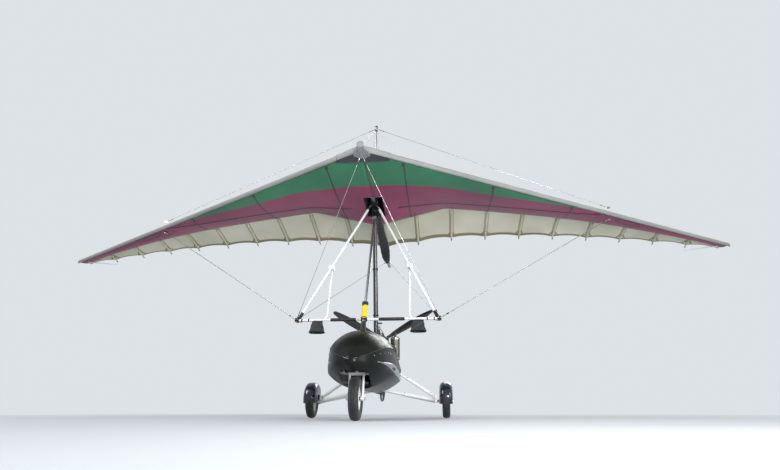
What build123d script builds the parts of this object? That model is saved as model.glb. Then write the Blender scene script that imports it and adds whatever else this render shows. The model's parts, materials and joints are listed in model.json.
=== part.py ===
from build123d import *
import math
import os

# Two-seat weight-shift microlight: a three-wheeled trike under a delta wing.
# Millimetres. +Z up from the floor, nose towards -Y, +X is the aircraft's left.
# Places are written with y = 0 at the hang bolt; export moves them by CENTRE_Y
# so that the origin lies under the middle of the whole aircraft.

# Running gear
WHEELBASE = 1830.0
TRACK = 1680.0
REAR_AXLE_Y = 500.0
NOSE_AXLE_Y = REAR_AXLE_Y - WHEELBASE
TYRE_R = 197.0
TYRE_W = 96.0
RIM_R = 112.0
AXLE_R = 10.0
HEAD_RAKE = 14.0            # steering head, degrees from upright
STEER_CLEAR = 0.6

# Trike frame
BASE_TUBE_Z = 330.0
BASE_TUBE_R = 28.0
BASE_REAR_Y = 610.0
LUG_BORE_R = 8.0            # upright eye in the tail lug
MAST_R = 29.0
MAST_FOOT = (0.0, 300.0, BASE_TUBE_Z + BASE_TUBE_R + 5)
MAST_TOP = (0.0, 4.0, 2395.0)
STRUT_R = 20.0
STRUT_TOP = (0.0, -62.0, 2385.0)
STRUT_FOOT = (0.0, -1200.0, 420.0)
PITCH_Z = 2450.0            # hang bolt: the wing pitches about it
POD_WALL = 6.0

# Wing, in its own frame: y aft along the keel from the hang point, z up from the keel axis
WING_TRIM = 9.0             # keel nose-up, degrees
KEEL_Z = 2600.0
KEEL_R = 25.0
KEEL_FRONT = -1345.0
KEEL_REAR = 1960.0
TAIL_SLEEVE_R = 26.5        # end sleeve on the keel
TAIL_SLEEVE = 200.0
HALF_SPAN = 5000.0
NOSE_S = -1300.0
SWEEP = 29.0                # leading edge from square-on, degrees
TIP_TWIST = 12.0
ROOT_TWIST = 1.2
LE_ROOT_R, LE_TIP_R = 32.0, 24.0
SAIL_T = 3.0
BATTEN_PITCH = 495.0
BATTENS = 10
BATTEN_R = 6.0
BATTEN_TAIL = 22.0          # how far a batten's end stands past the sail
JUNCTION_X = 3040.0         # cross-tube end, where the side wires hold the leading edge

# Plan of each half: columns x, rear edge s, second surface's share of the chord
PLAN = (
    (0.0, 1385.0, 0.645),
    (900.0, 1230.0, 0.645),
    (1900.0, 1290.0, 0.63),
    (2900.0, 1410.0, 0.585),
    (3600.0, 1513.0, 0.53),
    (4300.0, 1625.0, 0.535),
    (HALF_SPAN, 1760.0, 0.85),
)

# Control frame and rigging, wing frame
APEX = (42.0, -112.0, -46.0)
BAR_HALF = 790.0
BAR_S, BAR_H = -338.0, -1624.0
DOWNTUBE_R = 15.0
BAR_R = 14.0
WIRE_R = 2.5
REAR_TANG_S = 1700.0
KINGPOST_S = -112.0
KINGPOST_TOP = 1150.0

# Power unit
HUB_Y, HUB_Z = 950.0, 1000.0
PROP_R = 800.0
BLADES = 3
BEAM_Z = 690.0

POD_NOSE_Y = -1660.0
TRIM = math.radians(WING_TRIM)
CENTRE_Y = (POD_NOSE_Y + KEEL_REAR * math.cos(TRIM) + TAIL_SLEEVE_R * math.sin(TRIM)) / 2
AXLE_Z = TYRE_R


def rod(a, b, r):
    """Solid round bar from a to b."""
    a, b = Vector(*a), Vector(*b)
    return extrude(Plane(origin=a, z_dir=b - a) * Circle(r), (b - a).length)


def taper(a, b, r0, r1):
    """Round bar from a to b that narrows from r0 to r1."""
    a, b = Vector(*a), Vector(*b)
    cone = Cone(r0, r1, (b - a).length, align=(Align.CENTER, Align.CENTER, Align.MIN))
    return Plane(origin=a, z_dir=b - a) * cone


def pipe(points, r, bend):
    """Round tube along straight runs joined by arcs."""
    path = FilletPolyline(*points, radius=bend)
    return sweep(Plane(origin=path @ 0, z_dir=path % 0) * Circle(r), path=path)


def block(x0, x1, y0, y1, z0, z1):
    """Box between two corners."""
    size = (x1 - x0, y1 - y0, z1 - z0)
    return Pos((x0 + x1) / 2, (y0 + y1) / 2, (z0 + z1) / 2) * Box(*size)


def mirrored(solid):
    return mirror(solid, about=Plane.YZ)


def both(solid):
    """The same piece on each side."""
    return Compound([*solid.solids(), *mirrored(solid).solids()])


def group(*shapes):
    return Compound([s for shape in shapes for s in shape.solids()])


def save(name, shape, place=None):
    """Write one node, moved from its own frame to the aircraft's."""
    if place is not None:
        shape = place * shape
    shape = Pos(0, -CENTRE_Y, 0) * shape
    export_step(shape, f"parts/{name}.step")


WING = Location((0, 0, KEEL_Z), (-WING_TRIM, 0, 0))


# Wheels

SHOULDER = 24.0             # bevel between tread and sidewall


def tyre(y, half_track):
    """Low-pressure tyre with bevelled shoulders, a ring about the axle."""
    w, r = TYRE_W / 2, TYRE_R
    profile = make_face(Polyline(
        (RIM_R, -w), (r - SHOULDER, -w), (r, -w + SHOULDER), (r, w - SHOULDER), (r - SHOULDER, w),
        (RIM_R, w), (RIM_R, -w)))
    ring = revolve(profile, axis=Axis.Y)
    return Pos(half_track, y, AXLE_Z) * Rot(0, 0, 90) * ring


def rim(y, half_track):
    """Split moulded rim: hub, dished web with round holes, and bead flange."""
    w = TYRE_W / 2
    profile = make_face(Polyline(
        (AXLE_R + 0.4, -34), (26, -34), (30, -9), (84, -9), (96, -w + 17), (RIM_R - 0.5, -w + 17),
        (RIM_R - 0.5, w - 17), (96, w - 17), (84, 9), (30, 9), (26, 34), (AXLE_R + 0.4, 34),
        (AXLE_R + 0.4, -34)))
    wheel = revolve(profile, axis=Axis.Y)
    for turn in range(6):
        wheel -= Rot(0, turn * 60, 0) * Pos(57, 0, 0) * Rot(90, 0, 0) * Cylinder(14, 40)
    return Pos(half_track, y, AXLE_Z) * Rot(0, 0, 90) * wheel


# Steering: fork stem in a raked head, blades either side of the wheel, foot bar across
RAKE = math.radians(HEAD_RAKE)
HEAD = Vector(0, NOSE_AXLE_Y + 64, 475.0)
HEAD_DOWN = Vector(0, -math.sin(RAKE), -math.cos(RAKE))
STEM_R = 13.0


def on_head(x, along, ahead=0.0):
    """A point by the steering axis: across, down the axis, and ahead of it."""
    p = HEAD + HEAD_DOWN * along + Vector(0, -math.cos(RAKE), math.sin(RAKE)) * ahead
    return (x, p.Y, p.Z)


def nose_fork():
    blade_x = TYRE_W / 2 + 18
    crown_at = 56.0
    fork = rod(on_head(0, -62), on_head(0, crown_at), STEM_R)
    fork += rod(on_head(0, -74), on_head(0, -58), 24)
    crown = Plane(origin=on_head(0, crown_at), z_dir=HEAD_DOWN, x_dir=(1, 0, 0))
    fork += crown * Box(2 * blade_x + 26, 46, 16)
    axle = (0, NOSE_AXLE_Y, AXLE_Z)
    for side in (-1, 1):
        x = side * blade_x
        fork += rod(on_head(x, crown_at), (x, axle[1], axle[2]), 11)
        fork += rod((x - side * 13, axle[1], axle[2]), (x + side * 17, axle[1], axle[2]), 19)
        arm = pipe([on_head(x, crown_at), on_head(side * 118, 40, -36),
                    on_head(side * 200, 20, -36)], 9, 22)
        fork += arm
        fork += rod(on_head(side * 128, 20, -36), on_head(side * 205, 20, -36), 13)
    fork += rod((-blade_x, axle[1], axle[2]), (blade_x, axle[1], axle[2]), AXLE_R)
    return fork


def backbone_route():
    """Corners of the backbone's centre line, from the steering head to the tail."""
    return [on_head(0, 2, -14), (0, STRUT_FOOT[1] + 70, BASE_TUBE_Z), (0, BASE_REAR_Y, BASE_TUBE_Z)]


def backbone_solid(r):
    """The backbone's two straight runs at a radius, with a round elbow where they meet."""
    head, bend, tail = backbone_route()
    return rod(head, bend, r) + rod(bend, tail, r) + Pos(*bend) * Sphere(r)


def base_tube():
    """Backbone from the steering head to the tail, with the head sleeve and rear lug."""
    tube = backbone_solid(BASE_TUBE_R)
    tube += rod(on_head(0, -52), on_head(0, 30), 26)
    tube -= rod(on_head(0, -80), on_head(0, 60), STEM_R + STEER_CLEAR)
    tube += block(-18, 18, BASE_REAR_Y - 4, BASE_REAR_Y + 40, BASE_TUBE_Z - 22, BASE_TUBE_Z + 22)
    lug_y = BASE_REAR_Y + 20
    return tube - rod((0, lug_y, BASE_TUBE_Z - 40), (0, lug_y, BASE_TUBE_Z + 40), LUG_BORE_R)


def mast():
    return rod(MAST_FOOT, MAST_TOP, MAST_R)


def mast_head():
    """Cap on the mast with the tongue that takes the hang bolt and the front strut's lugs."""
    cap = rod((0, 4, MAST_TOP[2] + 5), (0, 4, MAST_TOP[2] + 22), MAST_R + 3)
    tongue = block(-22, 22, -34, 34, MAST_TOP[2] + 14, PITCH_Z)
    tongue += Pos(0, 0, PITCH_Z) * Rot(0, 90, 0) * Cylinder(34, 44)
    lugs = block(-26, 26, -88, -30, MAST_TOP[2] + 4, MAST_TOP[2] + 24)
    head = cap + tongue + lugs
    return head - Pos(0, 0, PITCH_Z) * Rot(0, 90, 0) * Cylinder(9.5, 80)


def strut_at(z):
    """Centre of the front strut at a height."""
    share = (STRUT_TOP[2] - z) / (STRUT_TOP[2] - STRUT_FOOT[2])
    return (0, STRUT_TOP[1] + share * (STRUT_FOOT[1] - STRUT_TOP[1]), z)


SLEEVE_TOP, SLEEVE_FOOT = 1190.0, 1000.0
NECK_TOP = 990.0


def front_strut():
    """Thin strut above, thicker where it is sleeved, down to the backbone."""
    upper = rod(STRUT_TOP, strut_at(SLEEVE_FOOT), STRUT_R - 4)
    lower = rod(strut_at(SLEEVE_FOOT), strut_at(STRUT_FOOT[2]), STRUT_R)
    return upper + lower - backbone_solid(BASE_TUBE_R + 0.5)


def strut_sleeve():
    """Yellow safety sleeve with a dark collar at each end."""
    tube = rod(strut_at(SLEEVE_TOP - 6), strut_at(SLEEVE_FOOT + 6), STRUT_R + 12)
    return tube - rod(strut_at(SLEEVE_TOP + 20), strut_at(SLEEVE_FOOT - 20), STRUT_R - 3.5)


# Pod: trough with rim and chine, columns y, rim half-width, rim z, chine half-width, chine z, keel z
POD = (
    (POD_NOSE_Y, 52, 540, 56, 500, 468),
    (-1560, 150, 580, 160, 480, 420),
    (-1380, 236, 640, 250, 460, 345),
    (-1150, 292, 676, 306, 440, 292),
    (-880, 322, 672, 334, 425, 292),
    (-500, 330, 606, 340, 415, 291),
    (-60, 306, 560, 314, 410, 291),
    (330, 206, 520, 212, 405, 292),
    (600, 108, 476, 112, 400, 295),
)
# Nose cowl: columns y, crown z, over the pod's rims
COWL = ((POD_NOSE_Y, 566), (-1560, 668), (-1380, 778), (-1150, 850), (-880, 884))


def pod_section(y, rim_w, rim_z, chine_w, chine_z, keel_z):
    t = POD_WALL
    face = make_face([
        Line((rim_w, rim_z), (chine_w, chine_z)),
        ThreePointArc((chine_w, chine_z), (0, keel_z), (-chine_w, chine_z)),
        Line((-chine_w, chine_z), (-rim_w, rim_z)),
        Line((-rim_w, rim_z), (-rim_w + t, rim_z)),
        Line((-rim_w + t, rim_z), (-chine_w + t, chine_z)),
        ThreePointArc((-chine_w + t, chine_z), (0, keel_z + t), (chine_w - t, chine_z)),
        Line((chine_w - t, chine_z), (rim_w - t, rim_z)),
        Line((rim_w - t, rim_z), (rim_w, rim_z)),
    ])
    return Plane(origin=(0, y, 0), x_dir=(1, 0, 0), z_dir=(0, -1, 0)) * face


def cowl_section(y, rim_w, rim_z, crown_z):
    t = POD_WALL
    face = make_face([
        ThreePointArc((rim_w, rim_z), (0, crown_z), (-rim_w, rim_z)),
        Line((-rim_w, rim_z), (-rim_w + t, rim_z)),
        ThreePointArc((-rim_w + t, rim_z), (0, crown_z - t), (rim_w - t, rim_z)),
        Line((rim_w - t, rim_z), (rim_w, rim_z)),
    ])
    return Plane(origin=(0, y, 0), x_dir=(1, 0, 0), z_dir=(0, -1, 0)) * face


WELL_HALF = 138.0           # half-width of the nose wheel's well


def gear_points(side):
    """Inner and outer ends of one side's three tubes: strut, drag link and axle tube."""
    hub = side * (TRACK / 2 - 128)
    return (
        ((side * 90, 322, 640), (hub, REAR_AXLE_Y - 6, AXLE_Z + 46)),
        ((side * 40, 60, BASE_TUBE_Z), (hub, REAR_AXLE_Y - 26, AXLE_Z + 8)),
        ((side * 34, 566, BASE_TUBE_Z), (hub, REAR_AXLE_Y + 16, AXLE_Z)),
    )


def pod_lower():
    pod = loft([pod_section(*row) for row in POD], ruled=True)
    nose = POD[0]
    cap = Plane(origin=(0, nose[0], 0), x_dir=(1, 0, 0), z_dir=(0, -1, 0)) * make_face([
        Line((nose[1], nose[2]), (nose[3], nose[4])),
        ThreePointArc((nose[3], nose[4]), (0, nose[5]), (-nose[3], nose[4])),
        Line((-nose[3], nose[4]), (-nose[1], nose[2])),
        Line((-nose[1], nose[2]), (nose[1], nose[2])),
    ])
    pod += extrude(cap, -POD_WALL)
    well = Pos(0, NOSE_AXLE_Y - 20, 330) * Box(2 * WELL_HALF, 470, 330)
    well = fillet(well.edges().filter_by(Axis.Z), 90)
    pod -= well
    for side in (-1, 1):
        for inner, outer in gear_points(side):
            pod -= rod(inner, outer, 24)
    return pod


def pod_nose_cowl():
    rows = [(row[0], row[1], row[2] + 3, crown[1]) for row, crown in zip(POD, COWL)]
    cowl = loft([cowl_section(*row) for row in rows], ruled=True)
    y, w, z, crown = rows[0]
    face = make_face([ThreePointArc((w, z), (0, crown), (-w, z)), Line((-w, z), (w, z))])
    cap = extrude(Plane(origin=(0, y, 0), x_dir=(1, 0, 0), z_dir=(0, -1, 0)) * face, -POD_WALL)
    return cowl + cap - rod(strut_at(NECK_TOP), strut_at(760), STRUT_R + 9)


def strut_neck():
    """Rubber gaiter where the strut enters the cowl."""
    (y0, *_), (y1, *_) = POD[3], POD[4]
    slope = math.atan2(COWL[4][1] - COWL[3][1], y1 - y0)
    neck = taper(strut_at(838), strut_at(972), STRUT_R + 18, STRUT_R + 5)
    below = Pos(0, y1, COWL[4][1] + 2.5) * Rot(math.degrees(slope), 0, 0) * Pos(0, 0, -100) * Box(300, 600, 200)
    return neck - below - rod(strut_at(760), strut_at(1040), STRUT_R + 1)


def instrument_panel():
    """Curved dash board under the cowl's rear lip, with instrument bezels."""
    row, crown = POD[4], COWL[4][1]
    side, low = (row[1] - 24, row[2] + 18), (150, row[2] - 60)
    face = make_face([
        ThreePointArc(side, (0, crown - POD_WALL - 8), (-side[0], side[1])),
        Line((-side[0], side[1]), (-low[0], low[1])),
        Line((-low[0], low[1]), low),
        Line(low, side),
    ])
    back = row[0] - 12
    plane = Plane(origin=(0, back, 0), x_dir=(1, 0, 0), z_dir=(0, -1, 0))
    panel = extrude(plane * face, 5)
    for x, z, r in ((-170, 735, 40), (-75, 760, 40), (75, 760, 40), (170, 735, 40), (0, 690, 30)):
        panel += Pos(x, back + 5, z) * Rot(90, 0, 0) * Cylinder(r, 14)
    return panel


# Seats: columns y, z along the cushion's centre line, then width
def seat(points, width, thick):
    """Upholstered seat: bent slab from front edge to the top of the back."""
    line = FilletPolyline(*[(0, y, z) for y, z in points], radius=55)
    start = Plane(origin=line @ 0, z_dir=line % 0, x_dir=(1, 0, 0))
    return sweep(start * RectangleRounded(width, thick, thick * 0.42), path=line)


def front_seat():
    return seat(((-500, 462), (-200, 440), (-118, 820)), 350, 60)


def rear_seat():
    return seat(((-70, 560), (95, 548), (152, 950)), 360, 60)


def seat_frame():
    """Seat tubes: two rails under both seats, hoops behind each back, and feet on the backbone."""
    frame = []
    for side in (-1, 1):
        x = side * 120
        rail = pipe([(x, -470, 408), (x, -150, 398), (x, -62, 790)], 11, 50)
        rear = pipe([(x, -50, 508), (x, 160, 500), (x, 205, 900)], 11, 50)
        frame += [rail, rear]
    feet = rod((-120, -360, 404), (120, -360, 404), 10) + rod((-120, 20, 505), (120, 20, 505), 10)
    for y, z in ((-360, 404), (20, 505)):
        feet += rod((0, y, BASE_TUBE_Z + BASE_TUBE_R + 0.5), (0, y, z), 12)
    solid = feet
    for tube in frame:
        solid += tube
    return solid


def fuel_tank():
    tank = block(-150, 150, 52, 236, 368, 478)
    tank = fillet(tank.edges(), 22)
    return tank + Pos(90, 90, 478) * Cylinder(26, 20)


# Engine: upright air-cooled twin with open fins, on two beams behind the mast
CRANK_Z = 780.0
CYL_Y = (440.0, 572.0)
FINS = 8
BARREL_R = 46.0


def engine_mount():
    mount = None
    for side in (-1, 1):
        x = side * 62
        beam = block(x - 16, x + 16, 292, 660, BEAM_Z - 20, BEAM_Z + 14)
        brace = rod((x, 640, BEAM_Z - 12), (side * 20, 580, BASE_TUBE_Z + 30), 11)
        piece = beam + brace
        mount = piece if mount is None else mount + piece
    mount += block(-78, 78, 292, 316, BEAM_Z - 60, BEAM_Z + 14)
    for side in (-1, 1):
        x0, x1 = sorted((side * 46, side * 81))
        mount += block(x0, x1, 305, 339, 623, 657)
        mount += block(x0, x1, 300, 316, 623, BEAM_Z - 40)
    return mount


def engine_block():
    """Crankcase with mounting feet and the recoil starter housing in front."""
    case = block(-88, 88, 372, 640, BEAM_Z + 16, CRANK_Z + 62)
    case = fillet(case.edges().filter_by(Axis.Y), 26)
    starter = Pos(0, 366, CRANK_Z) * Rot(90, 0, 0) * Cylinder(70, 46)
    return case + starter


def engine_cylinders():
    """Two finned barrels with finned heads and plug stubs."""
    solids = []
    base = CRANK_Z + 62.5
    for y in CYL_Y:
        barrel = Pos(0, y, base) * extrude(RegularPolygon(BARREL_R, 16), 150)
        for n in range(FINS):
            z = base + 12 + n * 16
            fin = Pos(0, y, z) * Box(134, 118, 4)
            barrel += fillet(fin.edges().filter_by(Axis.Z), 18)
        head = Pos(0, y, base + 150) * Box(112, 104, 30)
        barrel += fillet(head.edges().filter_by(Axis.Z), 16)
        barrel += Pos(0, y, base + 185) * Cylinder(9, 50)
        solids.append(barrel)
    return group(*solids)


def gearbox():
    """Reduction gearbox from crank to propeller shaft, with the shaft's flange bearing."""
    box = Pos(0, 684, CRANK_Z) * Rot(90, 0, 0) * Cylinder(74, 86)
    box += Pos(0, 684, HUB_Z) * Rot(90, 0, 0) * Cylinder(66, 86)
    box += block(-62, 62, 641, 727, CRANK_Z, HUB_Z)
    box += Pos(0, 760, HUB_Z) * Rot(90, 0, 0) * Cylinder(34, 76)
    return box + rod((0, 790, HUB_Z), (0, HUB_Y - 57, HUB_Z), 20)


def carburettors():
    """A carburettor and a cone air filter for each cylinder, on the aircraft's right."""
    solids = []
    z = CRANK_Z + 105
    for y in CYL_Y:
        body = rod((-69, y, z), (-128, y, z), 22)
        body += Pos(-104, y, z - 26) * Cylinder(15, 76)
        body += taper((-125, y, z), (-220, y, z), 30, 46)
        solids.append(body)
    return group(*solids)


def exhaust():
    """Siamesed manifold, expansion chamber along the left side and the upright after-muffler."""
    z = CRANK_Z + 110
    pipes = rod((80, CYL_Y[0] + 4, z), (150, 492, z - 20), 19)
    pipes += rod((80, CYL_Y[1] - 4, z), (150, 520, z - 20), 19)
    pipes += rod((138, 506, z - 14), (184, 506, z - 38), 28)
    pipes += pipe([(158, 506, z - 24), (215, 506, z - 60), (222, 420, z - 150)], 21, 34)
    pipes += taper((222, 420, z - 150), (232, 470, z - 330), 22, 58)
    pipes += taper((232, 470, z - 330), (236, 488, z - 400), 58, 30)
    canister = Pos(196, 690, 860) * Cylinder(60, 300)
    canister = chamfer(canister.edges(), 12)
    pipes += pipe([(236, 488, z - 396), (240, 560, z - 440), (230, 680, z - 330), (205, 690, 720)],
                  19, 40)
    pipes += canister
    return pipes + rod((196, 690, 1005), (196, 760, 1060), 15)


def propeller():
    """Three twisted blades in a clamped hub; columns radius, chord, thickness, pitch angle."""
    rows = ((78, 56, 34, 46), (200, 92, 22, 34), (430, 108, 14, 22), (650, 86, 9, 16),
            (PROP_R, 44, 5, 13))
    sections = []
    for r, chord, thick, angle in rows:
        half = chord / 2
        face = make_face([
            ThreePointArc((-half, 0), (0, thick * 0.7), (half, 0)),
            ThreePointArc((half, 0), (0, -thick * 0.3), (-half, 0)),
        ])
        sections.append(Plane(origin=(0, 0, -r), x_dir=(1, 0, 0), z_dir=(0, 0, -1))
                        * Rot(0, 0, -angle) * face)
    blade = loft(sections, ruled=True)
    blade += Pos(0, 0, -60) * Cylinder(20, 60)
    prop = Rot(90, 0, 0) * Cylinder(62, 46)
    prop += Pos(0, 28, 0) * Rot(90, 0, 0) * Cylinder(40, 16)
    prop += Pos(0, -38, 0) * Rot(90, 0, 0) * Cylinder(34, 34)
    for n in range(BLADES):
        prop += Rot(0, n * 360 / BLADES, 0) * blade
    return Pos(0, HUB_Y, HUB_Z) * prop


def gear_leg(side):
    """Three tubes, each thicker outboard, meeting the upright that holds the stub axle."""
    hub_x = side * (TRACK / 2 - 128)
    leg = rod((hub_x, REAR_AXLE_Y, AXLE_Z), (side * (TRACK / 2 + 44), REAR_AXLE_Y, AXLE_Z), AXLE_R)
    leg += block(min(hub_x - 12, hub_x + 12), max(hub_x - 12, hub_x + 12),
                 REAR_AXLE_Y - 44, REAR_AXLE_Y + 34, AXLE_Z - 24, AXLE_Z + 66)
    leg += rod((hub_x, REAR_AXLE_Y, AXLE_Z), (side * (TRACK / 2 - 44), REAR_AXLE_Y, AXLE_Z), 17)
    for inner, outer in gear_points(side):
        a, b = Vector(*inner), Vector(*outer)
        middle = a + (b - a) * 0.46
        leg += rod(inner, tuple(middle), 13)
        leg += rod(tuple(middle), outer, 19)
    return leg


SPAT_HALF = 84.0


def spat():
    """Wheel fairing: a teardrop shell, open below, blunt ahead and tapered behind."""
    y0, z0 = REAR_AXLE_Y, AXLE_Z
    front = ThreePointArc((y0 - 190, z0 - 20), (y0 - 170, z0 + 130), (y0 - 30, z0 + 228))
    back = TangentArc(front @ 1, (y0 + 350, z0 + 30), tangent=front % 1)
    outline = make_face([
        front, back,
        Line(back @ 1, (y0 + 318, z0 - 30)),
        Line((y0 + 318, z0 - 30), front @ 0),
    ])
    side_on = Plane(origin=(0, 0, 0), x_dir=(0, 1, 0), z_dir=(1, 0, 0))
    outer = extrude(side_on * outline, SPAT_HALF, both=True)
    outer = fillet(outer.edges().filter_by(GeomType.CIRCLE), 28)
    cavity_face = make_face([
        ThreePointArc((y0 - 210, z0 - 60), (y0, z0 + 212), (y0 + 212, z0 - 60)),
        Line((y0 + 212, z0 - 60), (y0 - 210, z0 - 60)),
    ])
    shell = outer - extrude(side_on * cavity_face, TYRE_W / 2 + 14, both=True)
    slot = block(-SPAT_HALF - 5, 0, y0 - 62, y0 + 52, z0 - 60, z0 + 82)
    shell -= slot
    return Pos(TRACK / 2, 0, 0) * shell


# Hang link: cheeks on the hang bolt below, sleeve round the keel above
SLEEVE_HALF = 52.0


def hang_link():
    """Upright cheeks under a sleeve that lies along the tilted keel, from the keel's centre."""
    height = KEEL_Z - PITCH_Z
    along_keel = Rot(90 - WING_TRIM, 0, 0)
    link = along_keel * Cylinder(KEEL_R + 13, 2 * SLEEVE_HALF)
    for side in (-1, 1):
        x0, x1 = sorted((side * 25, side * 34))
        link += block(x0, x1, -30, 30, -height, -12)
        link += Pos(side * 29.5, 0, -height) * Rot(0, 90, 0) * Cylinder(30, 9)
    link += block(-34, 34, -30, 30, -62, -30)
    link += Pos(0, 0, -height) * Rot(0, 90, 0) * Cylinder(9, 92)
    return link - along_keel * Cylinder(KEEL_R + 0.8, 3 * SLEEVE_HALF)


# Wing sections stand at the plan's rows, the first just off the centre line
STATIONS = (1.0, *[row[0] for row in PLAN[1:]])


def on_plan(x, column):
    """A column of the plan at x, straight between its rows."""
    for a, b in zip(PLAN, PLAN[1:]):
        if x <= b[0]:
            break
    return a[column] + (b[column] - a[column]) * (x - a[0]) / (b[0] - a[0])


def le_s(x):
    return NOSE_S + x * math.tan(math.radians(SWEEP))


def te_s(x):
    return on_plan(x, 1)


def lower_share(x):
    return on_plan(x, 2)


def le_r(x):
    return LE_ROOT_R + (LE_TIP_R - LE_ROOT_R) * x / HALF_SPAN


def twist(x):
    return ROOT_TWIST + (TIP_TWIST - ROOT_TWIST) * x / HALF_SPAN


def chord(x):
    return te_s(x) - le_s(x)


def section_plane(x):
    """Section plane at x: local x aft along the twisted chord, local y up."""
    a = math.radians(twist(x))
    return Plane(origin=(x, le_s(x), 0), x_dir=(0, math.cos(a), math.sin(a)), z_dir=(1, 0, 0))


CREST = 0.28                # highest point of the top surface, share of the chord


def crest_height(x):
    return le_r(x) + 0.085 * chord(x)


def upper_height(x, along):
    """Height of the top surface behind its crest, above the chord line."""
    run, drop = (1 - CREST) * chord(x), crest_height(x)
    radius = (run * run + drop * drop) / (2 * drop)
    back = along - CREST * chord(x)
    return drop - radius + math.sqrt(radius * radius - back * back)


def leave_angle(x):
    """Angle at which the top surface leaves the leading edge, so that it is level at the crest."""
    r, top, ahead = le_r(x), crest_height(x), CREST * chord(x)
    angle = 0.5
    for _ in range(6):
        rise = top - r * math.cos(angle)
        run = ahead - r + r * math.sin(angle)
        angle = 2 * math.atan2(rise, run)
    return angle


def skin_edge(x, inset):
    """Edges of the top skin's outer or inner face, from under the leading edge to the rear."""
    r, a, c = le_r(x), leave_angle(x), chord(x)
    rr = r - inset
    leave = (r - rr * math.sin(a), rr * math.cos(a))
    crest = (CREST * c, crest_height(x) - inset)
    end_a = math.asin((1 - CREST) * c / (((1 - CREST) * c) ** 2 + crest_height(x) ** 2)
                      * 2 * crest_height(x))
    tail = (c - inset * math.sin(end_a), -inset * math.cos(end_a))
    return (ThreePointArc((r, -rr), (inset, 0), leave),
            TangentArc(leave, crest, tangent=(math.cos(a), math.sin(a))),
            TangentArc(crest, tail, tangent=(1, 0)),
            (r, -rr), tail)


def upper_section(x):
    o1, o2, o3, o_start, o_end = skin_edge(x, 0)
    i1, i2, i3, i_start, i_end = skin_edge(x, SAIL_T)
    face = make_face([o1, o2, o3, Line(o_end, i_end), i3, i2, i1, Line(i_start, o_start)])
    return section_plane(x) * face


def te_outline(edge_x):
    """Scalloped rear edge in plan, from the tip to the centre, hollow between batten ends."""
    xs = [min(n * BATTEN_PITCH, edge_x) for n in range(BATTENS + 1)]
    edges = []
    for a, b in zip(xs, xs[1:]):
        middle = (a + b) / 2
        edges.append(ThreePointArc((a, te_s(a) - 12), (middle, te_s(middle) - 34), (b, te_s(b) - 12)))
    return edges


def upper_sail():
    skin = loft([upper_section(x) for x in STATIONS], ruled=True)
    tip_x = BATTENS * BATTEN_PITCH
    edges = te_outline(tip_x)
    ahead = NOSE_S - 200
    plan = make_face([
        *edges,
        Line((tip_x, te_s(tip_x) - 12), (HALF_SPAN + 1, le_s(HALF_SPAN) + 30)),
        Line((HALF_SPAN + 1, le_s(HALF_SPAN) + 30), (HALF_SPAN + 1, ahead)),
        Line((HALF_SPAN + 1, ahead), (0, ahead)),
        Line((0, ahead), (0, te_s(0) - 12)),
    ])
    skin = skin & extrude(Pos(0, 0, -600) * plan, 2200)
    skin -= rod((0, NOSE_S - 40, 0), (0, NOSE_S + 160, 0), KEEL_R + 2)
    return skin - Pos(0, KINGPOST_S, 250) * Cylinder(34, 300)


def lower_section(x, flat):
    r, c, t = le_r(x), chord(x), SAIL_T
    rear = lower_share(x) * c
    fall = math.sin(math.radians(twist(x)))
    end = -r - 5 - fall * rear if flat else upper_height(x, rear) - 2 * t - 6
    middle = -r - 4 - fall * 0.36 * c if flat else -r + 0.16 * (end + r)
    start = (r + 1.5, -r)
    face = make_face([
        ThreePointArc(start, (0.36 * c, middle), (rear, end)),
        Line((rear, end), (rear, end + t)),
        ThreePointArc((rear, end + t), (0.36 * c, middle + t), (start[0], start[1] + t)),
        Line((start[0], start[1] + t), start),
    ])
    return section_plane(x) * face


def lower_sail():
    """Second surface; it runs flat under the keel and lifts to the top skin outboard."""
    sections = [lower_section(1.0, True), lower_section(70.0, True)]
    sections += [lower_section(x, False) for x in STATIONS[1:]]
    skin = loft(sections, ruled=True)
    hang_slot = Pos(0, -30, -40) * Box(260, 520, 200)
    pocket_slot = Pos(0, 450, 0) * Box(104, 600, 300)
    return skin - hang_slot - pocket_slot


def on_chord(x, along, up):
    """Wing-frame point by its place along and above the twisted chord at x."""
    p = section_plane(x).from_local_coords(Vector(along, up, 0))
    return (p.X, p.Y, p.Z)


def battens():
    """Rear ends of the top-surface battens, lying under the skin and out past its edge."""
    solids = []
    for n in range(1, BATTENS):
        x = n * BATTEN_PITCH
        c = chord(x)
        depth = SAIL_T + BATTEN_R + 7
        start = (lower_share(x) + 0.03) * c
        bend = (start + c) / 2
        low = [upper_height(x, along) - depth for along in (start, bend, c)]
        tail_up = low[2] + (low[2] - low[1]) * BATTEN_TAIL / (c - bend)
        middle = on_chord(x, bend, low[1])
        solids.append(rod(on_chord(x, start, low[0]), middle, BATTEN_R)
                      + rod(middle, on_chord(x, c + BATTEN_TAIL, tail_up), BATTEN_R))
    return both(group(*solids))


def leading_edge():
    """Thick inner tube to just past the cross-tube, thinner outer tube to the tip."""
    ends = [on_chord(x, le_r(x), 0) for x in (40.0, HALF_SPAN - 14)]
    split = tuple(Vector(*ends[0]) + (Vector(*ends[1]) - Vector(*ends[0])) * 0.63)
    fit = math.cos(math.radians(SWEEP))
    inner_r, outer_r = (fit * (le_r(x) - SAIL_T - 2.5) for x in (split[0], HALF_SPAN))
    return rod(ends[0], split, inner_r) + rod(split, ends[1], outer_r)


def wing_keel():
    tube = rod((0, KEEL_FRONT, 0), (0, KEEL_REAR, 0), KEEL_R)
    tube += rod((0, KEEL_REAR - TAIL_SLEEVE, 0), (0, KEEL_REAR, 0), TAIL_SLEEVE_R)
    return tube - rod((0, KEEL_REAR - 90, 0), (0, KEEL_REAR + 10, 0), KEEL_R - 3)


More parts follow.
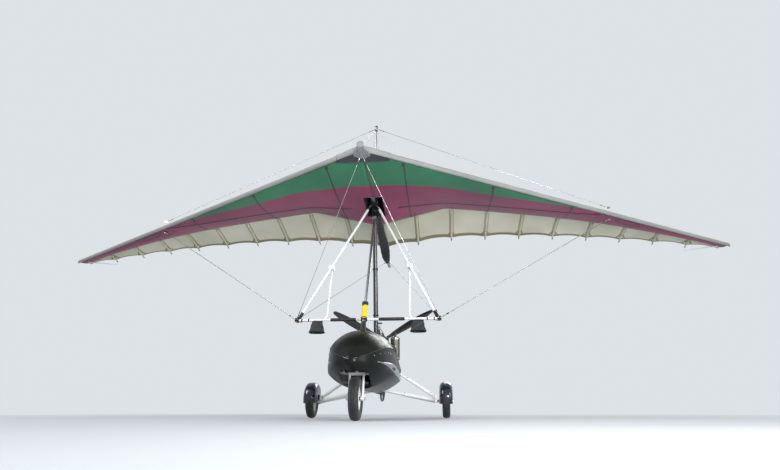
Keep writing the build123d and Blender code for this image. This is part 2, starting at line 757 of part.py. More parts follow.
def nose_plate():
    """Plate pair that clamps the leading edges under and over the keel's front end."""
    half = 92.0
    outline = make_face(Polyline(
        (-26, KEEL_FRONT - 18), (26, KEEL_FRONT - 18), (half, NOSE_S + 60), (half, NOSE_S + 104),
        (24, NOSE_S + 150), (-24, NOSE_S + 150), (-half, NOSE_S + 104), (-half, NOSE_S + 60),
        (-26, KEEL_FRONT - 18)))
    lower = extrude(Pos(0, 0, -LE_ROOT_R - 14) * outline, 5)
    tang = Pos(0, NOSE_S + 60, -LE_ROOT_R - 26) * Box(14, 46, 30)
    shell = Pos(0, KEEL_FRONT + 8, 0) * Rot(90, 0, 0) * Cylinder(LE_ROOT_R + 8, 44)
    shell -= Pos(0, KEEL_FRONT + 20, 0) * Rot(90, 0, 0) * Cylinder(KEEL_R + 0.5, 60)
    bridge = Pos(0, KEEL_FRONT + 8, -36) * Box(40, 40, 20)
    bridge -= Pos(0, KEEL_FRONT + 20, 0) * Rot(90, 0, 0) * Cylinder(KEEL_R + 0.5, 60)
    return lower + tang + shell + bridge


# Keel pocket: columns s, half-width, top, bottom, along the keel behind the hang point
POCKET = ((170, 46, 34, -92), (700, 38, 33, -62), (1300, 33, 32, -44), (1430, 31, 31, -118),
          (1640, 30, 30, -100))


def keel_pocket():
    sections = []
    for s, half, top, bottom in POCKET:
        low = half * 0.5
        face = make_face(Polyline((-half, top), (half, top), (half, bottom + low),
                                  (low, bottom), (-low, bottom), (-half, bottom + low),
                                  (-half, top)))
        sections.append(Plane(origin=(0, s, 0), x_dir=(1, 0, 0), z_dir=(0, -1, 0)) * face)
    sleeve = loft(sections, ruled=True)
    return sleeve - rod((0, 100, 0), (0, 1700, 0), KEEL_R + 1)


def apex_bracket():
    """Clamp on the keel that takes both downtubes below and the kingpost above."""
    clamp = Pos(0, APEX[1], -5) * Box(84, 74, 76)
    clamp -= rod((0, APEX[1] - 60, 0), (0, APEX[1] + 60, 0), KEEL_R + 0.5)
    return clamp


DOWN_TOP = (APEX[0], APEX[1], APEX[2] - 6.5)
DOWN_FOOT = (BAR_HALF - 22, BAR_S, BAR_H + 24)


def downtube():
    return rod(DOWN_TOP, DOWN_FOOT, DOWNTUBE_R)


def corner_brackets():
    """Cast corners that join downtube, base bar and wires."""
    body = Pos(BAR_HALF + 2, BAR_S, BAR_H) * Box(44, 46, 44)
    body = fillet(body.edges().filter_by(Axis.Y), 10)
    return both(body)


def base_bar():
    return rod((-BAR_HALF + 21, BAR_S, BAR_H), (BAR_HALF - 21, BAR_S, BAR_H), BAR_R)


def training_bars():
    """Tubes from a clamp on each downtube straight down, then out beside the base bar."""
    share = 0.58
    direction = [DOWN_FOOT[n] - DOWN_TOP[n] for n in range(3)]
    at = [DOWN_TOP[n] + share * direction[n] for n in range(3)]
    behind = 40.0
    tube = pipe([(at[0], at[1] + behind, at[2]), (at[0], BAR_S + behind, BAR_H + 14),
                 (BAR_HALF - 24, BAR_S + behind, BAR_H + 2)], 11, 70)
    lug = Pos(BAR_HALF - 30, BAR_S + behind, BAR_H + 2) * Box(16, 34, 30)
    clamp = Pos(at[0], at[1] + 18, at[2]) * Box(52, 78, 46)
    start = [at[n] - 0.1 * direction[n] for n in range(3)]
    end = [at[n] + 0.1 * direction[n] for n in range(3)]
    clamp -= rod(start, end, DOWNTUBE_R + 0.5)
    return both(tube + lug + clamp)


MUFF_X = 560.0
# Hand muff: columns depth below the bar, half-width, half-depth fore and aft
MUFF = ((0, 62, 32), (60, 76, 42), (130, 94, 54))


def hand_muffs():
    """Flared windproof hand covers hanging from the base bar."""
    top = BAR_H - BAR_R - 2
    sections = [Pos(MUFF_X, BAR_S, top - depth) * RectangleRounded(2 * w, 2 * h, h * 0.8)
                for depth, w, h in MUFF]
    return both(loft(sections, ruled=True))


def kingpost():
    post = rod((0, KINGPOST_S, 33.5), (0, KINGPOST_S, KINGPOST_TOP), 15)
    return post + Pos(0, KINGPOST_S, KINGPOST_TOP) * Cylinder(21, 34)


def junction(up):
    """Where a side wire meets the leading edge at the cross-tube, below or above the sail."""
    x = JUNCTION_X
    if up:
        return on_chord(x, 60, upper_height(x, CREST * chord(x)) * 0.62 + 26)
    return on_chord(x, 96, -le_r(x) - 20)


def tangs():
    """Wire anchors: under and over each leading edge, and the ring on the rear keel."""
    low = Pos(*junction(False)) * Box(46, 30, 22)
    high = Pos(*junction(True)) * Box(40, 26, 16)
    rear = rod((0, REAR_TANG_S - 14, 0), (0, REAR_TANG_S + 14, 0), KEEL_R + 8)
    rear -= rod((0, REAR_TANG_S - 30, 0), (0, REAR_TANG_S + 30, 0), KEEL_R + 0.5)
    return group(both(low), both(high), rear)


def trimmed(a, b, cut_a, cut_b, r=WIRE_R):
    """Wire from a to b, stopped short of what holds each end."""
    a, b = Vector(*a), Vector(*b)
    d = (b - a).normalized()
    return rod(tuple(a + d * cut_a), tuple(b - d * cut_b), r)


def flying_wires():
    corner = (BAR_HALF + 10, BAR_S, BAR_H)
    nose = (6, NOSE_S + 60, -LE_ROOT_R - 30)
    tail = (14, REAR_TANG_S, -KEEL_R - 8)
    low = junction(False)
    wires = [trimmed(nose, corner, 26, 40), trimmed(tail, corner, 14, 40)]
    for shift in (-11, 11):
        wires.append(trimmed((low[0], low[1] + shift, low[2]),
                             (corner[0] + 6, corner[1] + shift, corner[2] + 8), 34, 40))
    return both(group(*wires))


def landing_wires():
    top = (0, KINGPOST_S, KINGPOST_TOP)
    wires = [trimmed(top, (0, NOSE_S + 90, 118), 30, 0), trimmed(top, (0, REAR_TANG_S - 8, 34), 30, 4)]
    return group(*wires, both(trimmed(top, junction(True), 30, 26)))


def tip_rods():
    """Washout rods that hold the tips' trailing edges up."""
    front, rear = HALF_SPAN - 190, HALF_SPAN - 510
    return both(rod(on_chord(front, 94, -le_r(front) - 14), on_chord(rear, chord(rear) + 150, -36), 6))


def build():
    os.makedirs("parts", exist_ok=True)
    half = TRACK / 2
    save("nose_tyre", tyre(NOSE_AXLE_Y, 0))
    save("nose_rim", rim(NOSE_AXLE_Y, 0))
    for side, name in ((1, "left"), (-1, "right")):
        save(f"rear_tyre_{name}", tyre(REAR_AXLE_Y, side * half))
        save(f"rear_rim_{name}", rim(REAR_AXLE_Y, side * half))
        save(f"gear_leg_{name}", gear_leg(side))
    save("spat_left", spat())
    save("spat_right", mirrored(spat()))
    trike = {
        "nose_fork": nose_fork, "base_tube": base_tube, "mast": mast, "mast_head": mast_head,
        "front_strut": front_strut, "strut_sleeve": strut_sleeve, "strut_neck": strut_neck,
        "pod_lower": pod_lower, "pod_nose_cowl": pod_nose_cowl,
        "instrument_panel": instrument_panel, "front_seat": front_seat, "rear_seat": rear_seat,
        "seat_frame": seat_frame, "fuel_tank": fuel_tank, "engine_mount": engine_mount,
        "engine_block": engine_block, "engine_cylinders": engine_cylinders, "gearbox": gearbox,
        "carburettors": carburettors, "exhaust": exhaust, "propeller": propeller,
    }
    for name, make in trike.items():
        save(name, make())
    wing = {
        "wing_keel": wing_keel, "nose_plate": nose_plate,
        "keel_pocket": keel_pocket, "apex_bracket": apex_bracket, "base_bar": base_bar,
        "corner_brackets": corner_brackets, "training_bars": training_bars,
        "hand_muffs": hand_muffs, "kingpost": kingpost, "wire_tangs": tangs,
        "flying_wires": flying_wires, "landing_wires": landing_wires, "battens": battens,
        "tip_rods": tip_rods,
    }
    for name, make in wing.items():
        save(name, make(), WING)
    for name, make in {"sail_upper": upper_sail, "sail_lower": lower_sail,
                       "leading_edge": leading_edge, "downtube": downtube}.items():
        left = make()
        save(f"{name}_left", left, WING)
        save(f"{name}_right", mirrored(left), WING)
    save("hang_link", hang_link(), Location((0, 0, KEEL_Z)))


build()
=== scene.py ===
"""Looks for a two-seat weight-shift microlight: a trike parked on its wheels under a delta wing.

Metres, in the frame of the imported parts: x to the aircraft's left, y aft, z up from the floor.
"""

from __future__ import annotations

import json
import logging
import math
from dataclasses import dataclass
from enum import Enum
from math import cos, pi, radians, sin
from typing import Callable, Sequence

import bmesh
import bpy
from bpy.types import Material, Node, NodeSocket, NodeTree, Object
from mathutils import Matrix, Vector
from mathutils.bvhtree import BVHTree

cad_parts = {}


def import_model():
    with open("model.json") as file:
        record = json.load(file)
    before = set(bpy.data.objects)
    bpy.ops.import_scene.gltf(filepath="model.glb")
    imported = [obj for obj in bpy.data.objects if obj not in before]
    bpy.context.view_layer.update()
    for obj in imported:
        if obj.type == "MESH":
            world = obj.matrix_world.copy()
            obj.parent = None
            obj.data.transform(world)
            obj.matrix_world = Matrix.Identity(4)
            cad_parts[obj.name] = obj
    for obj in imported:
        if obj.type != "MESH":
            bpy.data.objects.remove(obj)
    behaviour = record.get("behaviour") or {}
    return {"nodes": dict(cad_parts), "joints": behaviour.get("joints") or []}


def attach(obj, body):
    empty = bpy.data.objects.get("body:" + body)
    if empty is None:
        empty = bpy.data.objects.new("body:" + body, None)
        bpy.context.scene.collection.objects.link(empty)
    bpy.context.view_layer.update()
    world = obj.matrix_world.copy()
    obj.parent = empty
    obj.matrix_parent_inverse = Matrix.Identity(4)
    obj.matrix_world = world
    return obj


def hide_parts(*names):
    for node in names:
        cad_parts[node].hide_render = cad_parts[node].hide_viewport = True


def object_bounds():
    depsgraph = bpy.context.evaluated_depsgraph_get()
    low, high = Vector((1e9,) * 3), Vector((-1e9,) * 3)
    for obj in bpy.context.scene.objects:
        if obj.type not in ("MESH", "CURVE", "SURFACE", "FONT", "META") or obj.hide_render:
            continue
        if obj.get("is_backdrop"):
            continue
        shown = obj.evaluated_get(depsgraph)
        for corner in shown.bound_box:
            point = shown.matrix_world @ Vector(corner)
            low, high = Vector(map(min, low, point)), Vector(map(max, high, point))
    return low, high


log = logging.getLogger("microlight")
MM = 0.001
SIDES = (("left", 1), ("right", -1))


# Shaders


def linear(code: str) -> tuple[float, float, float, float]:
    """Turn an sRGB hex colour with a leading hash into linear red, green, blue and an alpha of 1."""
    values = [int(code[n:n + 2], 16) / 255 for n in (1, 3, 5)]
    return (*(v / 12.92 if v <= 0.04045 else ((v + 0.055) / 1.055) ** 2.4 for v in values), 1.0)


class Nodes:
    """The nodes of one tree, added by short calls."""

    def __init__(self, tree: NodeTree) -> None:
        """Work on this tree."""
        self.tree = tree

    def add(self, kind: str, settings: dict | None = None, inputs: dict | None = None) -> Node:
        """Add one shader node.

        Args:
            kind: The node's type name after ShaderNode.
            settings: Properties of the node.
            inputs: Socket name or number to a value, or to the output socket that feeds it.

        Returns:
            The new node.
        """
        node = self.tree.nodes.new(f"ShaderNode{kind}")
        for name, value in (settings or {}).items():
            setattr(node, name, value)
        for name, value in (inputs or {}).items():
            if isinstance(value, NodeSocket):
                self.tree.links.new(value, node.inputs[name])
            else:
                node.inputs[name].default_value = value
        return node

    def where(self, source: str = "Object") -> NodeSocket:
        """Return the texture coordinates named by source, in metres."""
        return self.add("TexCoord").outputs[source]

    def grain(self, where: NodeSocket, size_mm: float, detail: float = 4.0, rough: float = 0.55,
              stretch: tuple[float, float, float] = (1, 1, 1)) -> NodeSocket:
        """Return a noise value.

        Args:
            where: Coordinates in metres.
            size_mm: Width of one feature.
            detail: Octaves.
            rough: How strong the small octaves are.
            stretch: Scale of the coordinates along each axis.

        Returns:
            The noise's factor.
        """
        mapped = self.add("Mapping", inputs={"Vector": where, "Scale": stretch}).outputs[0]
        return self.add("TexNoise", inputs={"Vector": mapped, "Scale": 1000 / size_mm, "Detail": detail,
                                            "Roughness": rough}).outputs[0]

    def calc(self, operation: str, *values: object) -> NodeSocket:
        """Return the result of one maths node."""
        return self.add("Math", {"operation": operation}, dict(enumerate(values))).outputs[0]

    def times(self, first: object, second: object) -> NodeSocket:
        """Return the product of two values."""
        return self.calc("MULTIPLY", first, second)

    def mix(self, factor: object, first: NodeSocket | str, second: NodeSocket | str) -> NodeSocket:
        """Return a mix of two colours, each a socket or a hex colour."""
        first, second = (linear(c) if isinstance(c, str) else c for c in (first, second))
        return self.add("Mix", {"data_type": "RGBA"}, {0: factor, 6: first, 7: second}).outputs[2]

    def spread(self, value: NodeSocket, low: float, high: float, out_low: float = 0.0,
               out_high: float = 1.0) -> NodeSocket:
        """Return value with its range low to high stretched to out_low to out_high, clamped."""
        return self.add("MapRange", inputs={"Value": value, "From Min": low, "From Max": high,
                                            "To Min": out_low, "To Max": out_high}).outputs[0]

    def bump(self, height: NodeSocket, depth_mm: float, strength: float,
             before: NodeSocket | None = None) -> NodeSocket:
        """Return a normal bumped by height, whose full range is depth_mm deep, on top of before."""
        inputs = {"Height": height, "Distance": depth_mm * MM, "Strength": strength}
        if before is not None:
            inputs["Normal"] = before
        return self.add("Bump", inputs=inputs).outputs[0]

    def show(self, factor: object, first: Node, second: Node, output: str = "Material Output") -> None:
        """Send a mix of two shaders to the tree's output."""
        mixed = self.add("MixShader", inputs={0: factor, 1: first.outputs[0], 2: second.outputs[0]})
        self.tree.links.new(mixed.outputs[0], self.tree.nodes[output].inputs[0])


class Surface(Nodes):
    """A material's nodes round one Principled shader."""

    def __init__(self, name: str, **values: object) -> None:
        """Start a material; values are for the shader's sockets, with underscores for spaces."""
        self.material = bpy.data.materials.new(name)
        self.material.use_nodes = True
        super().__init__(self.material.node_tree)
        self.shade = self.tree.nodes["Principled BSDF"]
        for key, value in values.items():
            self.shade.inputs[key.replace("_", " ")].default_value = value

    def feed(self, **sockets: NodeSocket) -> Material:
        """Link sockets to the shader's, with underscores for spaces, and return the material."""
        for key, socket in sockets.items():
            self.tree.links.new(socket, self.shade.inputs[key.replace("_", " ")])
        return self.material


@dataclass(frozen=True)
class SailCloth:
    """Woven polyester sailcloth with a ripstop grid.

    The fill gives a slight sheen and shows faint creases between the battens; light comes
    a little through it, so it is softer than a painted panel.
    """

    name: str
    colour: str
    shade: str
    roughness: float = 0.62
    glow: float = 0.12
    thread_mm: float = 9.0  # the real grid is about 5 mm; drawn coarser so that it shows

    def material(self) -> Material:
        """Build the shader."""
        s = Surface(self.name, Roughness=self.roughness, Sheen_Weight=0.15, Sheen_Roughness=0.4,
                    Coat_Weight=0.0)
        cloth = s.where("UV")
        plan = s.add("SeparateXYZ", inputs={0: cloth}).outputs
        grid = s.calc("MAXIMUM", *(
            s.spread(s.calc("PINGPONG", s.times(plan[axis], 1000 / self.thread_mm), 0.5), 0.0, 0.07,
                     1.0, 0.0) for axis in (0, 1)))
        tone = s.mix(s.spread(s.grain(cloth, 900, 3), 0.35, 0.7), self.colour, self.shade)
        tone = s.mix(s.times(grid, 0.10), tone, self.shade)
        height = s.bump(s.grain(cloth, 240, 3, 0.5, (1.6, 0.5, 1)), 5.0, 0.5)
        height = s.bump(s.grain(cloth, 60, 5, 0.6), 0.6, 0.35, height)
        height = s.bump(grid, 0.15, 0.5, height)
        s.show(self.glow, s.shade, s.add("BsdfTranslucent", inputs={"Color": tone, "Normal": height}))
        return s.feed(Base_Color=tone, Normal=height)


@dataclass(frozen=True)
class Coated:
    """Painted, powder-coated or gel-coated surface.

    A clear coat over the colour, slight orange peel and faint dust give a real paint's depth.
    """

    name: str
    colour: str
    roughness: float = 0.34
    coat: float = 0.5
    peel_mm: float = 3.0
    peel: float = 0.12
    dust: str = "#8D8A80"
    dust_share: float = 0.10
    mirror: float = 0.5

    def material(self) -> Material:
        """Build the shader."""
        s = Surface(self.name, Coat_Weight=self.coat, Coat_Roughness=0.08, IOR=1.5,
                    Specular_IOR_Level=self.mirror)
        where = s.where()
        speck = s.grain(where, 14, 4, 0.7)
        film = s.times(s.spread(s.grain(where, 180, 5), 0.42, 0.75), s.spread(speck, 0.3, 0.8))
        return s.feed(Base_Color=s.mix(s.times(film, self.dust_share), self.colour, self.dust),
                      Roughness=s.spread(speck, 0.3, 0.75, self.roughness * 0.8, self.roughness * 1.25),
                      Normal=s.bump(s.grain(where, self.peel_mm, 2), 0.08, self.peel))


@dataclass(frozen=True)
class Metal:
    """Bare or anodised metal with drawn or cast grain.

    Long fine scratches on drawn tube and a pitted skin on castings catch the light.
    """

    name: str
    colour: str
    roughness: float = 0.32
    grain_mm: float = 1.5
    stretch: tuple[float, float, float] = (1, 1, 1)
    pit: float = 0.15
    stain: str = "#4A4640"
    stain_share: float = 0.18
    metallic: float = 1.0

    def material(self) -> Material:
        """Build the shader."""
        s = Surface(self.name, Metallic=self.metallic)
        where = s.where()
        fine = s.grain(where, self.grain_mm, 4, 0.6, self.stretch)
        film = s.times(s.spread(s.grain(where, 70, 5, 0.6), 0.45, 0.8), self.stain_share)
        return s.feed(Base_Color=s.mix(film, self.colour, self.stain),
                      Roughness=s.spread(fine, 0.3, 0.75, self.roughness * 0.9, self.roughness * 1.12),
                      Normal=s.bump(fine, 0.1, self.pit))


@dataclass(frozen=True)
class Rubber:
    """Moulded black rubber, matt, greyer where it rubs."""

    name: str
    colour: str = "#1E1E1F"
    worn: str = "#4B4A47"
    roughness: float = 0.78
    grain_mm: float = 2.0

    def material(self) -> Material:
        """Build the shader."""
        s = Surface(self.name, Sheen_Weight=0.1)
        where = s.where()
        fine = s.grain(where, self.grain_mm, 3)
        film = s.spread(s.grain(where, 60, 5, 0.65), 0.5, 0.9, 0.0, 0.5)
        return s.feed(Base_Color=s.mix(film, self.colour, self.worn),
                      Roughness=s.spread(fine, 0.3, 0.8, self.roughness * 0.85, self.roughness * 1.1),
                      Normal=s.bump(fine, 0.25, 0.4))


@dataclass(frozen=True)
class Plastic:
    """Moulded plastic with a fine spark-eroded texture."""

    name: str
    colour: str
    roughness: float = 0.45
    grain_mm: float = 1.2
    texture: float = 0.3
    transmission: float = 0.0
    worn: str = "#6A6A68"
    worn_share: float = 0.12

    def material(self) -> Material:
        """Build the shader."""
        s = Surface(self.name, IOR=1.46, Transmission_Weight=self.transmission)
        where = s.where()
        cloud = s.grain(where, 45, 5, 0.6)
        film = s.times(s.spread(cloud, 0.45, 0.8), self.worn_share)
        return s.feed(Base_Color=s.mix(film, self.colour, self.worn),
                      Roughness=s.spread(cloud, 0.3, 0.75, self.roughness * 0.85, self.roughness * 1.2),
                      Normal=s.bump(s.grain(where, self.grain_mm, 2), 0.1, self.texture))


@dataclass(frozen=True)
class Fabric:
    """Coarse woven cloth such as seat cover, webbing or canvas.

    Crossing threads and a soft nap give the matt, slightly fuzzy look of textile.
    """

    name: str
    colour: str
    shade: str
    thread_mm: float = 3.0
    roughness: float = 0.85
    depth_mm: float = 0.6
    nap: float = 0.25

    def material(self) -> Material:
        """Build the shader."""
        s = Surface(self.name, Roughness=self.roughness, Sheen_Weight=self.nap, Sheen_Roughness=0.5)
        where = s.where()
        x, y, z = s.add("SeparateXYZ", inputs={0: where}).outputs
        pitch = 2 * pi * 1000 / self.thread_mm
        warp, weft = (s.calc("SINE", s.times(run, pitch)) for run in (x, s.calc("ADD", y, z)))
        weave = s.spread(s.times(warp, weft), -1.0, 1.0)
        tone = s.mix(s.spread(s.grain(where, 90, 5, 0.6), 0.35, 0.7), self.colour, self.shade)
        return s.feed(Base_Color=s.mix(s.times(weave, 0.25), tone, self.shade),
                      Normal=s.bump(weave, self.depth_mm, 0.5))


class Finish(Enum):
    """Every finish on the aircraft, named for what the real surface is, or for the light or shade painted
    into it.
    """

    # Pale top sail: daylight comes through it, so it looks creamy from below
    SAIL_WHITE = SailCloth("sailcloth_white", "#DAD8C6", "#C4C2AC")
    # Dyed cloth lets less light through: flat, deep colour
    SAIL_GREEN = SailCloth("sailcloth_green", "#2B7A55", "#236547", glow=0.05)
    SAIL_MAGENTA = SailCloth("sailcloth_magenta", "#8F3058", "#76284A", glow=0.05)
    # Painted shadow: darker magenta strips that stand for the shadows of the cross tube and the top battens
    # seen through the cloth
    SAIL_DOUBLE = SailCloth("sailcloth_magenta_painted_shadow", "#541D35", "#49182D", glow=0.02)
    # Coated edge cloth, opaque; the tan hem and dark tapes outline the panels
    SAIL_GREY = SailCloth("sailcloth_edge_grey", "#8C8D8C", "#7B7C7C", glow=0.0)
    HEM_TAN = SailCloth("sailcloth_hem_tan", "#8F845F", "#7C724F", glow=0.04)
    SEAM_DARK = SailCloth("sailcloth_tape_dark", "#34353A", "#2A2B2F", roughness=0.7, glow=0.0)
    POCKET_WHITE = SailCloth("sailcloth_pocket", "#C9C6B0", "#B3B098", glow=0.05)
    # Matt black canvas of the keel pocket; the same black, lining the hang slot, is painted shade for the
    # dark inside of the double surface
    POCKET_BLACK = Fabric("canvas_black", "#151617", "#1F2022", 4.0, nap=0.05)
    # White powder coat on aluminium: even, slightly soft gloss
    TUBE_WHITE = Coated("powder_coat_white", "#D9DBDA", 0.3, 0.35)
    # Gel coats: smooth and deep, with soft highlights over a slightly wavy mould surface
    POD = Coated("gelcoat_black_green", "#0D120F", 0.34, 0.10, 9.0, 0.04, dust_share=0.02, mirror=0.15)
    SPAT = Coated("gelcoat_navy", "#121729", 0.2, 0.7, 9.0, 0.05, dust_share=0.05, mirror=0.4)
    # Painted highlight: a pale slate band along each chine that stands for the gloss reflection down the
    # pod's side
    STRIPE = Coated("gelcoat_painted_highlight_stripe", "#666F76", 0.26, 0.5, 9.0, 0.04, dust_share=0.04, mirror=0.4)
    SIDE_GREEN = Coated("gelcoat_pale_green", "#56645B", 0.28, 0.5, 9.0, 0.04, dust_share=0.05, mirror=0.4)
    # Enamel and powder coat on steel: bright sleeve, dull graphite frame
    YELLOW = Coated("enamel_yellow", "#E3BE1E", 0.32, 0.5)
    FRAME = Coated("powder_coat_graphite", "#3B3F42", 0.36, 0.3)
    RIM = Coated("nylon_rim_white", "#DADBD8", 0.42, 0.1)
    # Moulded plastics: dull, with a broad soft highlight; the tank's is milky
    NOSE = Plastic("abs_grey", "#85878A", 0.42)
    PANEL = Plastic("abs_black", "#17181A", 0.5)
    TANK = Plastic("polythene_tank", "#D8D3BE", 0.4, transmission=0.12)
    RED_KNOB = Plastic("knob_red", "#A3221C", 0.35)
    DIAL = Plastic("dial_face_black", "#0F1011", 0.6)
    MARKS = Plastic("dial_marks_white", "#E8E8E2", 0.6)
    # Anodised aluminium: satin, streaked along the tube where it was drawn
    HANG = Metal("anodised_black", "#202226", 0.4, 1.2, (1, 1, 1), 0.1, "#55524C", 0.2, 0.6)
    KEEL = Metal("anodised_tube_natural", "#A9ACAE", 0.34, 1.4, (1, 0.06, 1), 0.015, stain_share=0.04)
    SILVER = Metal("anodised_tube_silver", "#B4B7B9", 0.33, 1.4, (1, 1, 0.06), 0.015, stain_share=0.04)
    MAST = Coated("anodised_mast_black", "#24272A", 0.3, 0.4, 2.5, 0.05, dust_share=0.05)
    # Steel is brighter and sharper than the pitted castings; the exhaust is browned by heat
    STEEL = Metal("stainless_steel", "#B9B8B4", 0.24, 1.0, (1, 1, 1), 0.08)
    CAST = Metal("cast_aluminium", "#8E9092", 0.5, 2.2, (1, 1, 1), 0.5, "#3D3A35", 0.35)
    FINS = Metal("cast_fins_black", "#2C2D2E", 0.55, 1.8, (1, 1, 1), 0.4, "#5A564F", 0.3, 0.5)
    EXHAUST = Metal("heated_steel", "#6E6F68", 0.46, 2.0, (1, 1, 1), 0.25, "#5B4433", 0.55)
    BLADE = Coated("composite_blade_black", "#191A1C", 0.3, 0.5, 2.0, 0.2)
    # Rubber: matt black, greyed by wear; silicone hose is smoother and brighter
    TYRE = Rubber("tyre_rubber")
    GAITER = Rubber("gaiter_rubber", "#151516", "#3A3A3A", 0.6)
    TEAL = Rubber("silicone_hose_teal", "#1E6F73", "#3A8084", 0.4)
    # Upholstery, webbing and line: visible threads, no gloss
    SEAT = Fabric("seat_cloth_charcoal", "#292B2E", "#1C1D20", 3.5, nap=0.15)
    PIPING = Fabric("seat_piping_grey", "#6E7073", "#55575A", 2.5)
    MUFF = Fabric("muff_nylon_black", "#121314", "#1B1C1E", 3.0, 0.6, nap=0.05)
    WEBBING = Fabric("webbing_black", "#141416", "#222326", 2.5, 0.7, nap=0.08)
    LINE = Fabric("braided_line_white", "#D6D4CA", "#B9B7AC", 1.5)
    FILTER_RED = Fabric("filter_gauze_red", "#8E2420", "#5E1613", 2.0, 0.6)

    def get(self) -> Material:
        """Return the material, built once."""
        return bpy.data.materials.get(self.value.name) or self.value.material()


# Mesh helpers


Place = Callable[[float, float], Vector]


def vec(x: float, y: float, z: float) -> Vector:
    """Return a vector."""
    return Vector((x, y, z))


def ray(axis: str, turn: float) -> Vector:
    """Return the direction at an angle round the axis named x, y or z."""
    c, d = cos(turn), sin(turn)
    return {"x": vec(0, c, d), "y": vec(c, 0, d), "z": vec(c, d, 0)}[axis]


def power(value: float, exponent: float) -> float:
    """Return value to a power with its sign kept, which squares off a circle."""
    return math.copysign(abs(value) ** exponent, value)


def basis(direction: Vector, origin: Vector) -> Matrix:
    """Return a frame at origin whose z axis lies along direction."""
    return Matrix.Translation(origin) @ direction.to_track_quat("Z", "Y").to_matrix().to_4x4()


def add_modifier(piece: Object, kind: str, **settings: object) -> None:
    """Add a modifier of a type with its settings."""
    modifier = piece.modifiers.new(kind.title(), kind)
    for key, value in settings.items():
        setattr(modifier, key, value)


def bake(piece: Object) -> None:
    """Turn a piece's modifiers into its mesh."""
    made = bpy.data.meshes.new_from_object(piece.evaluated_get(bpy.context.evaluated_depsgraph_get()))
    piece.modifiers.clear()
    piece.data = made


